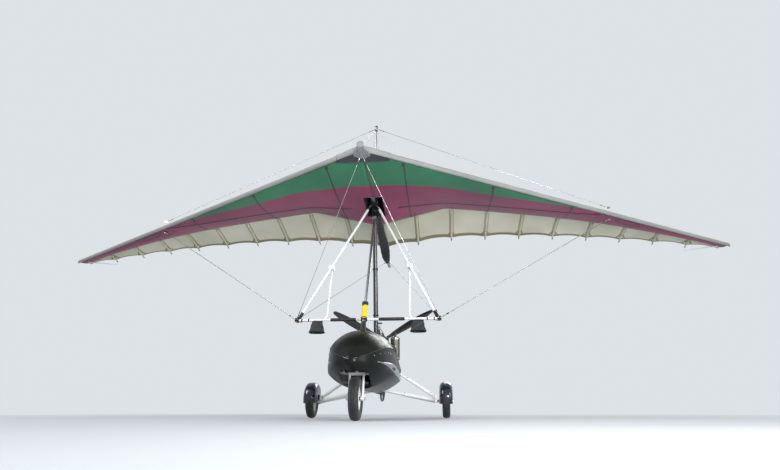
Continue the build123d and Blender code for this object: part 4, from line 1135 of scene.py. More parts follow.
@dataclass
class WingFrame:
    """What dresses the keel, kingpost, control frame and wires."""

    plan: WingPlan
    keel_rear: float = 1.96
    bar_half: float = 0.79
    bar_s: float = -0.338
    bar_h: float = -1.624
    bar_r: float = 0.014
    muff_x: float = 0.56
    kingpost_s: float = -0.112
    kingpost_top: float = 1.15
    tang_s: float = 1.7
    luff_lines: int = 4
    cap_depth: float = 0.016
    wire_x: float = 3.04
    # Columns s, half-width, top and bottom of the keel pocket
    pocket: tuple = ((0.17, 0.060, 0.034, -0.092), (0.70, 0.050, 0.033, -0.062),
                     (1.18, 0.066, 0.032, -0.060), (1.42, 0.058, 0.031, -0.118),
                     (1.64, 0.034, 0.030, -0.090))
    # Columns depth below the bar, half-width, half-depth of a hand muff
    muff: tuple = ((0.0, 0.062, 0.032), (0.06, 0.076, 0.042), (0.13, 0.094, 0.054))

    def keel_pocket(self) -> None:
        """Black cloth sleeve under the keel, deeper towards its rear end."""
        shape = Shape()
        s0, s1 = self.pocket[0][0], self.pocket[-1][0]

        def place(u: float, v: float) -> Vector:
            s = s0 + (s1 - s0) * v
            half, top, bottom = (smooth_interpolate(self.pocket, s, n) for n in (1, 2, 3))
            turn = 2 * pi * u
            c, d = cos(turn), sin(turn)
            x = half * power(c, 0.6)
            h = (top + bottom) / 2 + (top - bottom) / 2 * power(d, 0.6)
            fold = 1 + 0.02 * sin(s * 47 + 3 * turn) + 0.015 * sin(s * 90 - 2 * turn)
            return self.plan.at(x * fold, s, h if h > 0 else h * fold)

        shape.grid(40, 70, place)
        shape.weld(1e-6)
        middle = self.plan.at(0, 0.9, -0.02)
        shape.face_away(lambda q: vec(q.x - middle.x, 0, q.z - middle.z))
        piece = shape.save("keel_pocket_cloth", (Finish.POCKET_BLACK,), "wing", replaces=["keel_pocket"],
                           slot="pocket_cloth", crease_deg=60, thick=0.0012)
        trim = Shape()
        for s, half, top, bottom in (self.pocket[0], self.pocket[-1]):
            loop = [self.plan.at(half * 1.02 * cos(a), s, (top + bottom) / 2 + (top - bottom) / 2 * 1.02
                                 * sin(a)) for a in (2 * pi * n / 24 for n in range(24))]
            trim.tube(loop, 0.003, closed=True)
        trim.save("keel_pocket_binding", (Finish.SEAM_DARK,), "wing", slot="pocket_cloth")

    def hand_muffs(self) -> None:
        """Padded windproof covers that hang open from the bar, with a hem and creases."""
        top = self.bar_h - self.bar_r - 0.002
        for name, side in SIDES:
            def ring(turn: float, half: float, deep: float, depth: float) -> Vector:
                x, s = half * power(cos(turn), 0.75), deep * power(sin(turn), 0.75)
                return self.plan.at(side * (self.muff_x + x), self.bar_s + s, top - depth)

            def place(u: float, v: float) -> Vector:
                turn, depth = 2 * pi * u, self.muff[-1][0] * v
                half, deep = (smooth_interpolate(self.muff, depth, n) for n in (1, 2))
                crease = 0.0035 * sin(5 * turn + 9 * v) * sin(pi * v)
                return ring(turn, half - 0.006 + crease, deep - 0.004 + crease, depth)

            shape = Shape()
            shape.grid(48, 18, place)
            shape.weld(1e-6)
            rim = [e for e in shape.bm.edges if e.is_boundary]
            lid = sorted(rim, key=lambda e: -sum(v.co.z for v in e.verts))[:len(rim) // 2]
            bmesh.ops.edgeloop_fill(shape.bm, edges=lid)
            middle = self.plan.at(side * self.muff_x, self.bar_s, top - 0.06)
            shape.face_away(lambda q: q - middle)
            piece = shape.save(f"hand_muff_{name}", (Finish.MUFF,), "wing", replaces=["hand_muffs"],
                               slot="muff_cloth", crease_deg=70, thick=0.005)
            add_modifier(piece, "SUBSURF", levels=1, render_levels=1)
            hem = Shape()
            for depth in (0.124, 0.006):
                half, deep = (interpolate(self.muff, depth, n) for n in (1, 2))
                hem.tube([ring(2 * pi * n / 28, half - 0.004, deep - 0.002, depth) for n in range(28)],
                         0.0028, closed=True)
            hem.save(f"hand_muff_piping_{name}", (Finish.WEBBING,), "wing", slot="muff_cloth")

    def wire_ends(self) -> list[tuple[Vector, Vector]]:
        """Return where each flying and landing wire of the left side starts and ends."""
        p = self.plan
        corner = vec(self.bar_half + 0.01, self.bar_s, self.bar_h)
        nose = vec(0.006, p.nose_s + 0.06, -0.062)
        tail = vec(0.014, self.tang_s, -0.033)
        x = self.wire_x
        back = p.matrix().inverted()
        low = back @ p.section(1, x, 0.096, -p.le_r(x) - 0.020)
        high = back @ p.section(1, x, 0.060, 0.62 * p.top(x, 0.28 * p.chord(x)) + 0.026)
        mast = vec(0, self.kingpost_s, self.kingpost_top)
        wires = [(nose, corner), (tail, corner), (mast, high)]
        for shift in (-0.011, 0.011):
            wires.append((low + vec(0, shift, 0), corner + vec(0.006, shift, 0.008)))
        return wires

    def wire_hardware(self) -> None:
        """Swaged sleeves, thimbles and heat-shrink at both ends of every wire."""
        frame = self.plan.matrix()
        shape = Shape()
        for a, b in self.wire_ends():
            for side in (1, -1):
                flip = vec(side, 1, 1)
                ends = (frame @ (a * flip), frame @ (b * flip))
                for start, other in (ends, ends[::-1]):
                    d = (other - start).normalized()
                    for near, far, r0, r1, index in ((0.048, 0.078, 0.0055, 0.0055, 0),
                                                     (0.082, 0.112, 0.0045, 0.0045, 1),
                                                     (0.026, 0.050, 0.0035, 0.0052, 0)):
                        shape.rod(start + d * near, start + d * far, r0, r1, 12, index)
        shape.save("wire_swages", (Finish.STEEL, Finish.GAITER), "wing", slot="wire_steel")

    def luff_rigging(self) -> None:
        """Braided lines from the kingpost's head to the rear batten ends."""
        p = self.plan
        shape = Shape()
        head = p.at(0, self.kingpost_s, self.kingpost_top - 0.035)
        shape.rod(head + vec(0, 0, 0.004), head - vec(0, 0, 0.012), 0.019, sides=24, index=1)
        for side in (1, -1):
            for n in range(1, self.luff_lines + 1):
                x = n * p.pitch
                along = p.edge(x) - 0.03
                foot = p.section(side, x, along, p.top(x, along) + 0.004)
                shape.rod(head, foot, 0.0016, sides=8)
                shape.rod(foot, foot + (head - foot).normalized() * 0.02, 0.004, sides=10, index=1)
        shape.save("luff_lines", (Finish.LINE, Finish.HANG), "wing", slot="wire_steel")

    def batten_ends(self) -> None:
        """Moulded caps with cord loops on the batten ends that stand past the sail."""
        p = self.plan
        shape = Shape()
        for side in (1, -1):
            for n in range(1, p.battens):
                x, c = n * p.pitch, p.chord(n * p.pitch)
                slope = p.top(x, c - 0.12) - p.top(x, c)
                a = p.section(side, x, c + 0.004, p.top(x, c) - self.cap_depth - slope * 0.03)
                b = p.section(side, x, c + 0.030, p.top(x, c) - self.cap_depth - slope * 0.25)
                shape.rod(a, b, 0.0085, 0.0065, 16, 0)
                cord = ((-0.009, 0.016, -0.004), (-0.012, -0.02, 0.010), (0.0, -0.03, 0.012),
                        (0.012, -0.02, 0.010), (0.009, 0.016, -0.004), (0.0, 0.022, -0.008))
                loop = [p.section(side, x + dx, c + ds, p.top(x, c) - self.cap_depth + dh)
                        for dx, ds, dh in cord]
                shape.tube(loop, 0.0014, 1, closed=True, sides=2)
        shape.save("batten_caps", (Finish.PANEL, Finish.LINE), "wing", slot="batten_tube")

    def control_frame(self) -> None:
        """Foam grips, collars and corner bolts of the base bar."""
        p = self.plan
        shape = Shape()
        for side in (1, -1):
            a, b = (p.at(side * x, self.bar_s, self.bar_h) for x in (0.14, 0.40))
            shape.rod(a, b, 0.0185, sides=28, index=1)
            for x in (0.135, 0.405, 0.66, 0.735):
                a, b = (p.at(side * (x + d), self.bar_s, self.bar_h) for d in (-0.006, 0.006))
                shape.rod(a, b, 0.0172, sides=28, index=2)
            for dh in (0.022, -0.022):
                shape.bolt(p.at(side * (self.bar_half + 0.008), self.bar_s, self.bar_h + dh),
                           p.way(0, 0, dh), 0.007)
            for ds in (-0.0235, 0.0235):
                for dx in (-0.008, 0.014):
                    shape.bolt(p.at(side * (self.bar_half + dx), self.bar_s + ds, self.bar_h + 0.006),
                               p.way(0, ds, 0), 0.006)
        shape.save("control_bar_fittings", (Finish.STEEL, Finish.GAITER, Finish.HANG), "wing",
                   slot="hang_black")

    def keel_fittings(self) -> None:
        """Bolts and clamp bands on the keel, its end plug, the kingpost's cap and the downtubes' ends."""
        p = self.plan
        shape = Shape()
        for side in (1, -1):
            for s in (-0.135, -0.089):
                for h in (-0.030, 0.022):
                    shape.bolt(p.at(side * 0.042, s, h), p.way(side, 0, 0), 0.007)
            for x, s in ((0.06, -1.22), (0.03, -1.30), (0.03, -1.16)):
                shape.bolt(p.at(side * x, s, -0.051), p.way(0, 0, -1), 0.007)
        for s in (-1.0, -0.5, 0.13, 1.665, 1.735):
            shape.band(p.at(0, s, 0), p.way(0, 1, 0), 0.006, 0.0275, 36)
        plug = ((0.0, 0.012), (0.012, 0.011), (0.021, 0.004), (0.0225, -0.01), (0.0, -0.01))
        shape.lathe(plug, basis(p.way(0, 1, 0), p.at(0, self.keel_rear, 0)), 32, 2)
        cap = ((0.0, 0.03), (0.012, 0.028), (0.019, 0.02), (0.0215, 0.005), (0.022, -0.002), (0.0, -0.002))
        shape.lathe(cap, basis(p.way(0, 0, 1), p.at(0, self.kingpost_s, self.kingpost_top + 0.017)), 32, 2)
        for side in (1, -1):
            top = p.at(side * 0.042, -0.112, -0.052)
            foot = p.at(side * (self.bar_half - 0.022), self.bar_s, self.bar_h + 0.024)
            d = (foot - top).normalized()
            shape.rod(top - d * 0.022, top + d * 0.075, 0.0185, sides=28, index=1)
            for along in (0.018, 0.055):
                for s in (-0.0185, 0.0185):
                    shape.bolt(top + d * along + p.way(0, s, 0), p.way(0, s, 0), 0.006)
            shape.rod(foot - d * 0.070, foot + d * 0.004, 0.0180, sides=28, index=1)
        shape.save("keel_fittings", (Finish.STEEL, Finish.HANG, Finish.GAITER), "wing",
                   slot="steel_fittings")

    def build(self) -> None:
        """Make every piece."""
        self.keel_pocket()
        self.hand_muffs()
        self.wire_hardware()
        self.luff_rigging()
        self.batten_ends()
        self.control_frame()
        self.keel_fittings()


# Pod and instruments


def at(x: float, y: float, z: float) -> Vector:
    """Return a point given with y = 0 at the hang bolt in the row frame."""
    return vec(x, y + WingPlan().joint_y(), z)


def arc_point(half: float, edge: float, middle: float, share: float) -> tuple[float, float]:
    """Return a point of the arc from (half, edge) through (0, middle) to (-half, edge)."""
    rise = middle - edge
    radius = (half * half + rise * rise) / (2 * abs(rise))
    reach = math.asin(min(1.0, half / radius))
    if abs(rise) > half:
        reach = pi - reach
    angle = reach * (1 - 2 * share)
    centre = middle - math.copysign(radius, rise)
    return radius * sin(angle), centre + math.copysign(radius, rise) * cos(angle)


def from_axis(q: Vector) -> Vector:
    """Return the direction of a point away from the pod's long middle line."""
    return vec(q.x, 0, q.z - 0.56)


@dataclass
class Pod:
    """Smooth moulded pod: trough, nose cowl, rim seam, a painted highlight along the chine, vent and
    nose-wheel well.
    """

    nose_y: float = -1.66
    tail_y: float = 0.60
    cowl_y: float = -0.88
    wall: float = 0.005
    nose_axle_y: float = -1.33
    # Columns y, rim half-width, rim z, chine half-width, chine z, keel z
    trough: tuple = ((-1.66, 0.052, 0.540, 0.056, 0.500, 0.468), (-1.56, 0.150, 0.580, 0.160, 0.480, 0.420),
                     (-1.38, 0.236, 0.640, 0.250, 0.460, 0.345), (-1.15, 0.292, 0.676, 0.306, 0.440, 0.292),
                     (-0.88, 0.322, 0.672, 0.334, 0.425, 0.292), (-0.50, 0.330, 0.606, 0.340, 0.415, 0.291),
                     (-0.06, 0.306, 0.560, 0.314, 0.410, 0.291), (0.33, 0.206, 0.520, 0.212, 0.405, 0.292),
                     (0.60, 0.108, 0.476, 0.112, 0.400, 0.295))
    # Columns y, crown z of the cowl
    crown: tuple = ((-1.66, 0.566), (-1.56, 0.668), (-1.38, 0.778), (-1.15, 0.850), (-0.88, 0.884))
    nose_share: float = 0.08  # of the shell's length, for the rounded nose
    side_share: float = 0.14  # of the trough's girth, for each side above the chine
    gear_tubes: tuple = (((0.09, 0.322, 0.64), (0.712, 0.494, 0.243)),
                         ((0.04, 0.06, 0.33), (0.712, 0.474, 0.205)),
                         ((0.034, 0.566, 0.33), (0.712, 0.516, 0.197)))

    def rows(self, y: float) -> list[float]:
        """Return rim half-width, rim z, chine half-width, chine z and keel z at y."""
        return [smooth_interpolate(self.trough, y, n) for n in range(1, 6)]

    def trough_point(self, y: float, v: float, out: float = 0.0) -> Vector:
        """Return a point of the trough: v from 0 at the left rim to 1 at the right one."""
        rim_w, rim_z, chine_w, chine_z, keel_z = self.rows(y)
        side = 1 if v < 0.5 else -1
        from_rim = v if v < 0.5 else 1 - v
        if from_rim < self.side_share:
            t = from_rim / self.side_share
            bulge = 0.006 * sin(pi * t)
            x, z = rim_w + (chine_w - rim_w) * t + bulge + out, rim_z + (chine_z - rim_z) * t
            return at(side * x, y, z)
        x, z = arc_point(chine_w, chine_z, keel_z, (from_rim - self.side_share) / 0.36 / 2)
        length = math.hypot(x, chine_z - z + 0.1)
        return at(side * (x + out * x / max(length, 1e-6)), y, z - out * (chine_z - z + 0.1) / length)

    def nose_cap(self, point: Callable[[float], Vector], u: float) -> Vector | None:
        """Return the rounded nose's point ahead of the first section, or None behind it."""
        if u >= self.nose_share:
            return None
        turn = pi / 2 * u / self.nose_share
        middle = at(0, self.nose_y, 0.522)
        edge = point(self.nose_y)
        spot = middle.lerp(edge, sin(turn))
        spot.y = middle.y - 0.022 * cos(turn)
        return spot

    def shell(self, name: str, point: Callable[[float, float], Vector], end_y: float, columns: int,
              rows: int, node: str) -> Object:
        """Build a smooth shell from a point function of y and v, closed at the nose."""
        shape = Shape()

        def place(u: float, v: float) -> Vector:
            cap = self.nose_cap(lambda y: point(y, v), u)
            if cap is not None:
                return cap
            share = (u - self.nose_share) / (1 - self.nose_share)
            return point(self.nose_y + (end_y - self.nose_y) * share, v)

        shape.grid(columns, rows, place)
        shape.weld(2e-4)
        shape.face_away(from_axis)
        return shape.save(name, (Finish.POD,), "trike", replaces=[node], slot="pod_shell", crease_deg=60,
                          thick=self.wall)

    def cowl_point(self, y: float, v: float, out: float = 0.0) -> Vector:
        """Return a point of the cowl: v from 0 at the left rim over the crown to 1."""
        rim_w, rim_z = self.rows(y)[:2]
        crown = smooth_interpolate(self.crown, y, 1)
        x, z = arc_point(rim_w, rim_z + 0.004, crown, v)
        lift = vec(x, 0, z - rim_z + 0.05).normalized() * out
        return at(x, y, z) + lift

    def well_cutter(self) -> Shape:
        """Return the rounded opening round the nose wheel and the six tube holes, as solids."""
        shape = Shape()
        shape.box(Matrix.Translation(at(0, self.nose_axle_y - 0.02, 0.33)), (0.276, 0.47, 0.33), 0.09, 10,
                  upright=True)
        for side in (1, -1):
            for a, b in self.gear_tubes:
                shape.rod(at(side * a[0], a[1], a[2]), at(side * b[0], b[1], b[2]), 0.024, sides=28)
        return shape

    def stripe(self) -> None:
        """Pale band along each chine, a painted highlight standing for the gloss reflection there, and the
        dark vent in it.
        """
        shape = Shape()
        for middle in (0.122, 1 - 0.122):
            def place(u: float, v: float) -> Vector:
                y = -1.46 + 1.52 * v
                wide = 0.050 * (smooth_step(v, 0.0, 0.35) * 0.85 + 0.15)
                rise = 0.030 * (1 - v) ** 2 * (-1 if middle < 0.5 else 1)
                return self.trough_point(y, middle + rise + (u - 0.5) * wide, 0.0025)

            shape.grid(4, 60, place)
        shape.face_away(from_axis)
        # The pale band is a painted highlight of the gloss along the chine
        shape.save("chine_painted_highlights", (Finish.STRIPE,), "trike", slot="pod_shell", thick=0.0025)
        vents = Shape()
        for middle in (0.108, 1 - 0.108):
            def place(u: float, v: float) -> Vector:
                y = -1.06 + 0.15 * v
                wide = (1 - abs(2 * v - 1) ** 2.5) * 0.9 + 0.1
                return self.trough_point(y, middle + (u - 0.5) * 0.018 * wide, 0.0045)

            vents.grid(6, 16, place)
        vents.face_away(lambda q: vec(q.x, 0, 0))
        vents.save("pod_vents", (Finish.PANEL,), "trike", slot="panel_black", thick=0.003)

    def tail(self) -> None:
        """Pale green panels on the rear sides and the flared black lip round the open tail."""
        shape = Shape()
        for first, last in ((0.030, 0.215), (0.970, 0.785)):
            def place(u: float, v: float) -> Vector:
                y = 0.06 + 0.50 * u
                low = first + (last - first) * v * (0.35 + 0.65 * u)
                return self.trough_point(y, low, 0.002)

            shape.grid(20, 12, place)
        shape.face_away(lambda q: vec(q.x, 0, 0))
        shape.save("pod_side_panels", (Finish.SIDE_GREEN,), "trike", slot="pod_shell", thick=0.002)
        lip = Shape()
        lip.tube([self.trough_point(self.tail_y, 0.012 + 0.976 * n / 24, 0.001) for n in range(25)], 0.009)
        lip.save("pod_tail_lip", (Finish.GAITER,), "trike", slot="rubber_black")

    def seams(self) -> None:
        """Rubber strip where cowl and trough meet, edge bead round the cockpit, and screws."""
        shape = Shape()
        for side in (0, 1):
            start = self.nose_y + 0.02
            line = [self.trough_point(start + (self.cowl_y - start) * n / 12, side, 0.002)
                    + vec(0, 0, 0.002) for n in range(13)]
            shape.tube(line, 0.0032)
            line = [self.trough_point(self.cowl_y + (self.tail_y - self.cowl_y) * n / 16, side, -0.002)
                    + vec(0, 0, 0.001) for n in range(17)]
            shape.tube(line, 0.006)
            for n in range(7):
                y = -1.5 + 0.1 * n
                spot = self.trough_point(y, 0.03 if side == 0 else 0.97, 0.0)
                shape.rod(spot, spot + vec(0.004 if side == 0 else -0.004, 0, 0), 0.006, 0.0045, 16, 1)
        lip = [self.cowl_point(self.cowl_y, n / 20, -0.002) for n in range(21)]
        shape.tube(lip, 0.0065)
        shape.save("pod_seams", (Finish.GAITER, Finish.STEEL), "trike", slot="rubber_black")

    def build(self) -> None:
        """Make every piece of the pod."""
        lower = self.shell("pod_trough", self.trough_point, self.tail_y, 70, 64, "pod_lower")
        cut_out(lower, self.well_cutter())
        upper = self.shell("pod_cowl", self.cowl_point, self.cowl_y, 36, 40, "pod_nose_cowl")
        strut = Shape()
        strut.rod(at(0, -1.003, 0.76), at(0, -0.870, 0.99), 0.029, sides=32)
        cut_out(upper, strut)
        self.stripe()
        self.tail()
        self.seams()


@dataclass
class Instruments:
    """Dials in the panel's bezels and a row of switches below them."""

    # Columns x, z, radius of each bezel
    bezels: tuple = ((-0.170, 0.735, 0.040), (-0.075, 0.760, 0.040), (0.075, 0.760, 0.040),
                     (0.170, 0.735, 0.040), (0.0, 0.690, 0.030))
    face_y: float = -0.880

    def build(self) -> None:
        """Make the dials."""
        shape = Shape()
        aft = vec(0, 1, 0)
        for n, (x, z, r) in enumerate(self.bezels):
            spot = at(x, self.face_y, z)
            place = basis(aft, spot)
            shape.lathe(((r - 0.004, 0.0), (r - 0.001, 0.004), (r + 0.003, 0.004), (r + 0.004, 0.0),
                         (r + 0.004, -0.004), (r - 0.004, -0.004)), place, 48, 0, closed=True)
            shape.rod(spot - aft * 0.001, spot + aft * 0.001, r - 0.003, sides=40, index=1)
            for tick in range(12):
                d = ray("y", radians(225 - tick * 270 / 11))
                long = 0.68 if tick % 3 == 0 else 0.76
                shape.rod(spot + d * r * long + aft * 0.0015, spot + d * r * 0.84 + aft * 0.0015, 0.0012,
                          sides=6, index=2)
            d = ray("y", radians(200 - 37 * n))
            shape.rod(spot - d * r * 0.12 + aft * 0.0025, spot + d * r * 0.62 + aft * 0.0025, 0.0016,
                      0.0006, 8, 2)
            shape.rod(spot + aft * 0.001, spot + aft * 0.004, 0.003, sides=12, index=0)
        for n in range(5):
            spot = at(-0.1 + 0.05 * n, self.face_y + 0.003, 0.640)
            shape.rod(spot - aft * 0.006, spot + aft * 0.004, 0.006, sides=6, index=3)
            shape.rod(spot, spot + vec(0, 0.020, 0.006), 0.0022, 0.0032, 10, 3)
        shape.save("instrument_dials", (Finish.PANEL, Finish.DIAL, Finish.MARKS, Finish.STEEL), "trike",
                   slot="panel_black")


# Seats


def lengths_along(line: Sequence[Vector]) -> list[float]:
    """Return how far along a line each of its points is."""
    lengths = [0.0]
    for a, b in zip(line, line[1:]):
        lengths.append(lengths[-1] + (b - a).length)
    return lengths


@dataclass
class Seats:
    """Two padded seats, swollen by cloth simulation, with channels, piping and lap belts."""

    voxel: float = 0.007
    pressure: float = 4.0
    frames: int = 18
    cap: float = 0.010
    # Columns name, side-view corners (y, z), width
    shapes: tuple = (("front_seat", ((-0.500, 0.462), (-0.200, 0.440), (-0.118, 0.820)), 0.350),
                     ("rear_seat", ((-0.070, 0.560), (0.095, 0.548), (0.152, 0.950)), 0.360))
    thick: float = 0.060
    bend: float = 0.055
    channel_pitch: float = 0.085
    webbing: float = 0.044

    def line(self, corners: Sequence[tuple[float, float]]) -> list[Vector]:
        """Return the cushion's centre line, rounded at its corner, as close points."""
        a, b, c = (vec(0, y, z) for y, z in corners)
        d0, d1 = (a - b).normalized(), (c - b).normalized()
        half = d0.angle(d1) / 2
        reach = self.bend / math.tan(half)
        centre = b + (d0 + d1).normalized() * self.bend / sin(half)
        start, end = b + d0 * reach, b + d1 * reach
        points = [a.lerp(start, n / 14) for n in range(14)]
        for n in range(9):
            points.append(centre + (start - centre).slerp(end - centre, n / 8).normalized() * self.bend)
        return points + [end.lerp(c, n / 18) for n in range(1, 19)]

    def spot(self, line: Sequence[Vector], share: float) -> tuple[Vector, Vector]:
        """Return a place on the line by its share of the length and the normal to the front."""
        lengths = lengths_along(line)
        goal = share * lengths[-1]
        n = max(0, min(len(line) - 2, sum(1 for v in lengths[1:] if v < goal)))
        a, b = line[n], line[n + 1]
        d = (b - a).normalized()
        return a + d * (goal - lengths[n]), vec(0, -d.z, d.y)

    def slab(self, line: Sequence[Vector], width: float) -> Shape:
        """Return the cushion before it is filled: a rounded slab, a little small."""
        shape = Shape()
        half_w, half_t = width / 2 - 0.008, self.thick / 2 - 0.008

        def place(u: float, v: float) -> Vector:
            point, normal = self.spot(line, 0.006 + 0.988 * v)
            end = min(v, 1 - v)
            close = sin(pi / 2 * min(1.0, end / 0.03)) if end < 0.03 else 1.0
            turn = 2 * pi * u
            c, d = cos(turn), sin(turn)
            x = half_w * power(c, 0.45) * (0.93 + 0.07 * close)
            return at(x, point.y, point.z) + normal * half_t * close * power(d, 0.6)

        shape.grid(56, 90, place)
        shape.seal()
        return shape

    def inflate(self, piece: Object) -> None:
        """Swell the cushion by cloth simulation, no point further than the cap."""
        add_modifier(piece, "REMESH", mode="VOXEL", voxel_size=self.voxel)
        bpy.context.view_layer.update()
        bake(piece)
        rest = [v.co.copy() for v in piece.data.vertices]
        modifier = piece.modifiers.new("Cloth", "CLOTH")
        settings = modifier.settings
        settings.use_pressure = True
        settings.uniform_pressure_force = self.pressure
        settings.effector_weights.gravity = 0.0
        settings.quality = 4
        settings.mass = 0.3
        settings.tension_stiffness = settings.compression_stiffness = 12
        settings.shrink_min = -0.02
        modifier.point_cache.frame_start, modifier.point_cache.frame_end = 1, self.frames
        scene = bpy.context.scene
        for number in range(1, self.frames + 1):
            scene.frame_set(number)
        bake(piece)
        scene.frame_set(1)
        for vertex, first in zip(piece.data.vertices, rest):
            moved = vertex.co - first
            if moved.length > self.cap:
                vertex.co = first + moved.normalized() * self.cap

    def sew(self, piece: Object, line: Sequence[Vector], width: float) -> None:
        """Press the sewn channels and the side seam into the swollen cushion."""
        shift = WingPlan().joint_y()
        lengths = lengths_along(line)
        count = round(lengths[-1] / self.channel_pitch)
        pitch = lengths[-1] / count
        for vertex in piece.data.vertices:
            point = vec(0, vertex.co.y - shift, vertex.co.z)
            n = min(range(len(line)), key=lambda k: (line[k] - point).length_squared)
            a, b = line[max(n - 1, 0)], line[min(n + 1, len(line) - 1)]
            d = (b - a).normalized()
            normal = vec(0, -d.z, d.y)
            along = lengths[n] + (point - line[n]).dot(d)
            off = (point - line[n]).dot(normal)
            inside = smooth_step(width / 2 - abs(vertex.co.x), 0.035, 0.06)
            near = abs((along / pitch) % 1.0 - 0.5) - 0.5
            press = math.exp(-(near * pitch / 0.007) ** 2) * inside
            if not 0.04 < along < lengths[-1] - 0.04:
                press = 0
            rib = math.exp(-((abs(vertex.co.x) - width / 2 + 0.045) / 0.006) ** 2)
            depth = 0.007 * max(press, rib)
            if off > 0:
                vertex.co -= normal * depth

    def surface(self, piece: Object) -> BVHTree:
        """Return a search tree of the finished cushion's surface."""
        mesh = piece.data
        return BVHTree.FromPolygons([v.co for v in mesh.vertices], [p.vertices for p in mesh.polygons])

    def trim(self, name: str, line: Sequence[Vector], width: float, surface: BVHTree) -> None:
        """Piping sewn along the long edges of the cushion's front face and back."""
        shape = Shape()
        for side in (1, -1):
            for face in (0.72, -0.72):
                points = []
                for n in range(25):
                    point, normal = self.spot(line, 0.02 + 0.96 * n / 24)
                    rough = (at(side * (width / 2 - 0.002), point.y, point.z) + normal * self.thick / 2
                             * face)
                    place, out = surface.find_nearest(rough)[:2]
                    points.append(place + out * 0.0012)
                shape.tube(points, 0.0035)
        shape.save(f"{name}_piping", (Finish.PIPING,), "trike", slot="seat_cloth")

    def belts(self, name: str, line: Sequence[Vector], width: float, surface: BVHTree) -> None:
        """Lap belt: two straps over the cushion's sides to a buckle lying on it."""
        shape = Shape()
        base, normal = self.spot(line, 0.30)
        for side in (1, -1):
            def place(u: float, v: float) -> Vector:
                if v < 0.35:
                    t = v / 0.35
                    x, out = width / 2 + 0.006, -0.075 + t * (0.075 + self.thick / 2)
                else:
                    t = (v - 0.35) / 0.65
                    x = width / 2 + 0.006 - t * (width / 2 - 0.02)
                    out = self.thick / 2 + 0.006 + 0.006 * sin(pi * t)
                point = at(side * x, base.y + (u - 0.5) * self.webbing + 0.012 * side * v,
                           base.z) + normal * out
                if v < 0.3:
                    return point
                spot, away = surface.find_nearest(point)[:2]
                return spot + away * 0.0045

            shape.grid(4, 30, place)
        shape.face_away(lambda q: vec(q.x * 0.3, 0, 1))
        piece = shape.save(f"{name}_belt", (Finish.WEBBING,), "trike", slot="seat_cloth", thick=0.002,
                           offset=0.0)
        buckle = Shape()
        spot = surface.find_nearest(at(0, base.y, base.z) + normal * self.thick)[0] + normal * 0.011
        buckle.box(basis(normal, spot), (0.062, 0.050, 0.014), 0.004)
        buckle.rod(spot, spot + normal * 0.010, 0.013, 0.011, 24, 1)
        buckle.save(f"{name}_buckle", (Finish.STEEL, Finish.YELLOW), "trike", slot="steel_fittings")

    def build(self) -> None:
        """Make both seats."""
        for name, corners, width in self.shapes:
            line = self.line(corners)
            slab = self.slab(line, width)
            piece = slab.save(f"{name}_cushion", (Finish.SEAT,), "trike", replaces=[name],
                              slot="seat_cloth", crease_deg=180)
            self.inflate(piece)
            self.sew(piece, line, width)
            piece.data.shade_smooth()
            add_modifier(piece, "SUBSURF", levels=1, render_levels=1)
            surface = self.surface(piece)
            self.trim(name, line, width, surface)
            self.belts(name, line, width, surface)


# Wheels, spats and fork


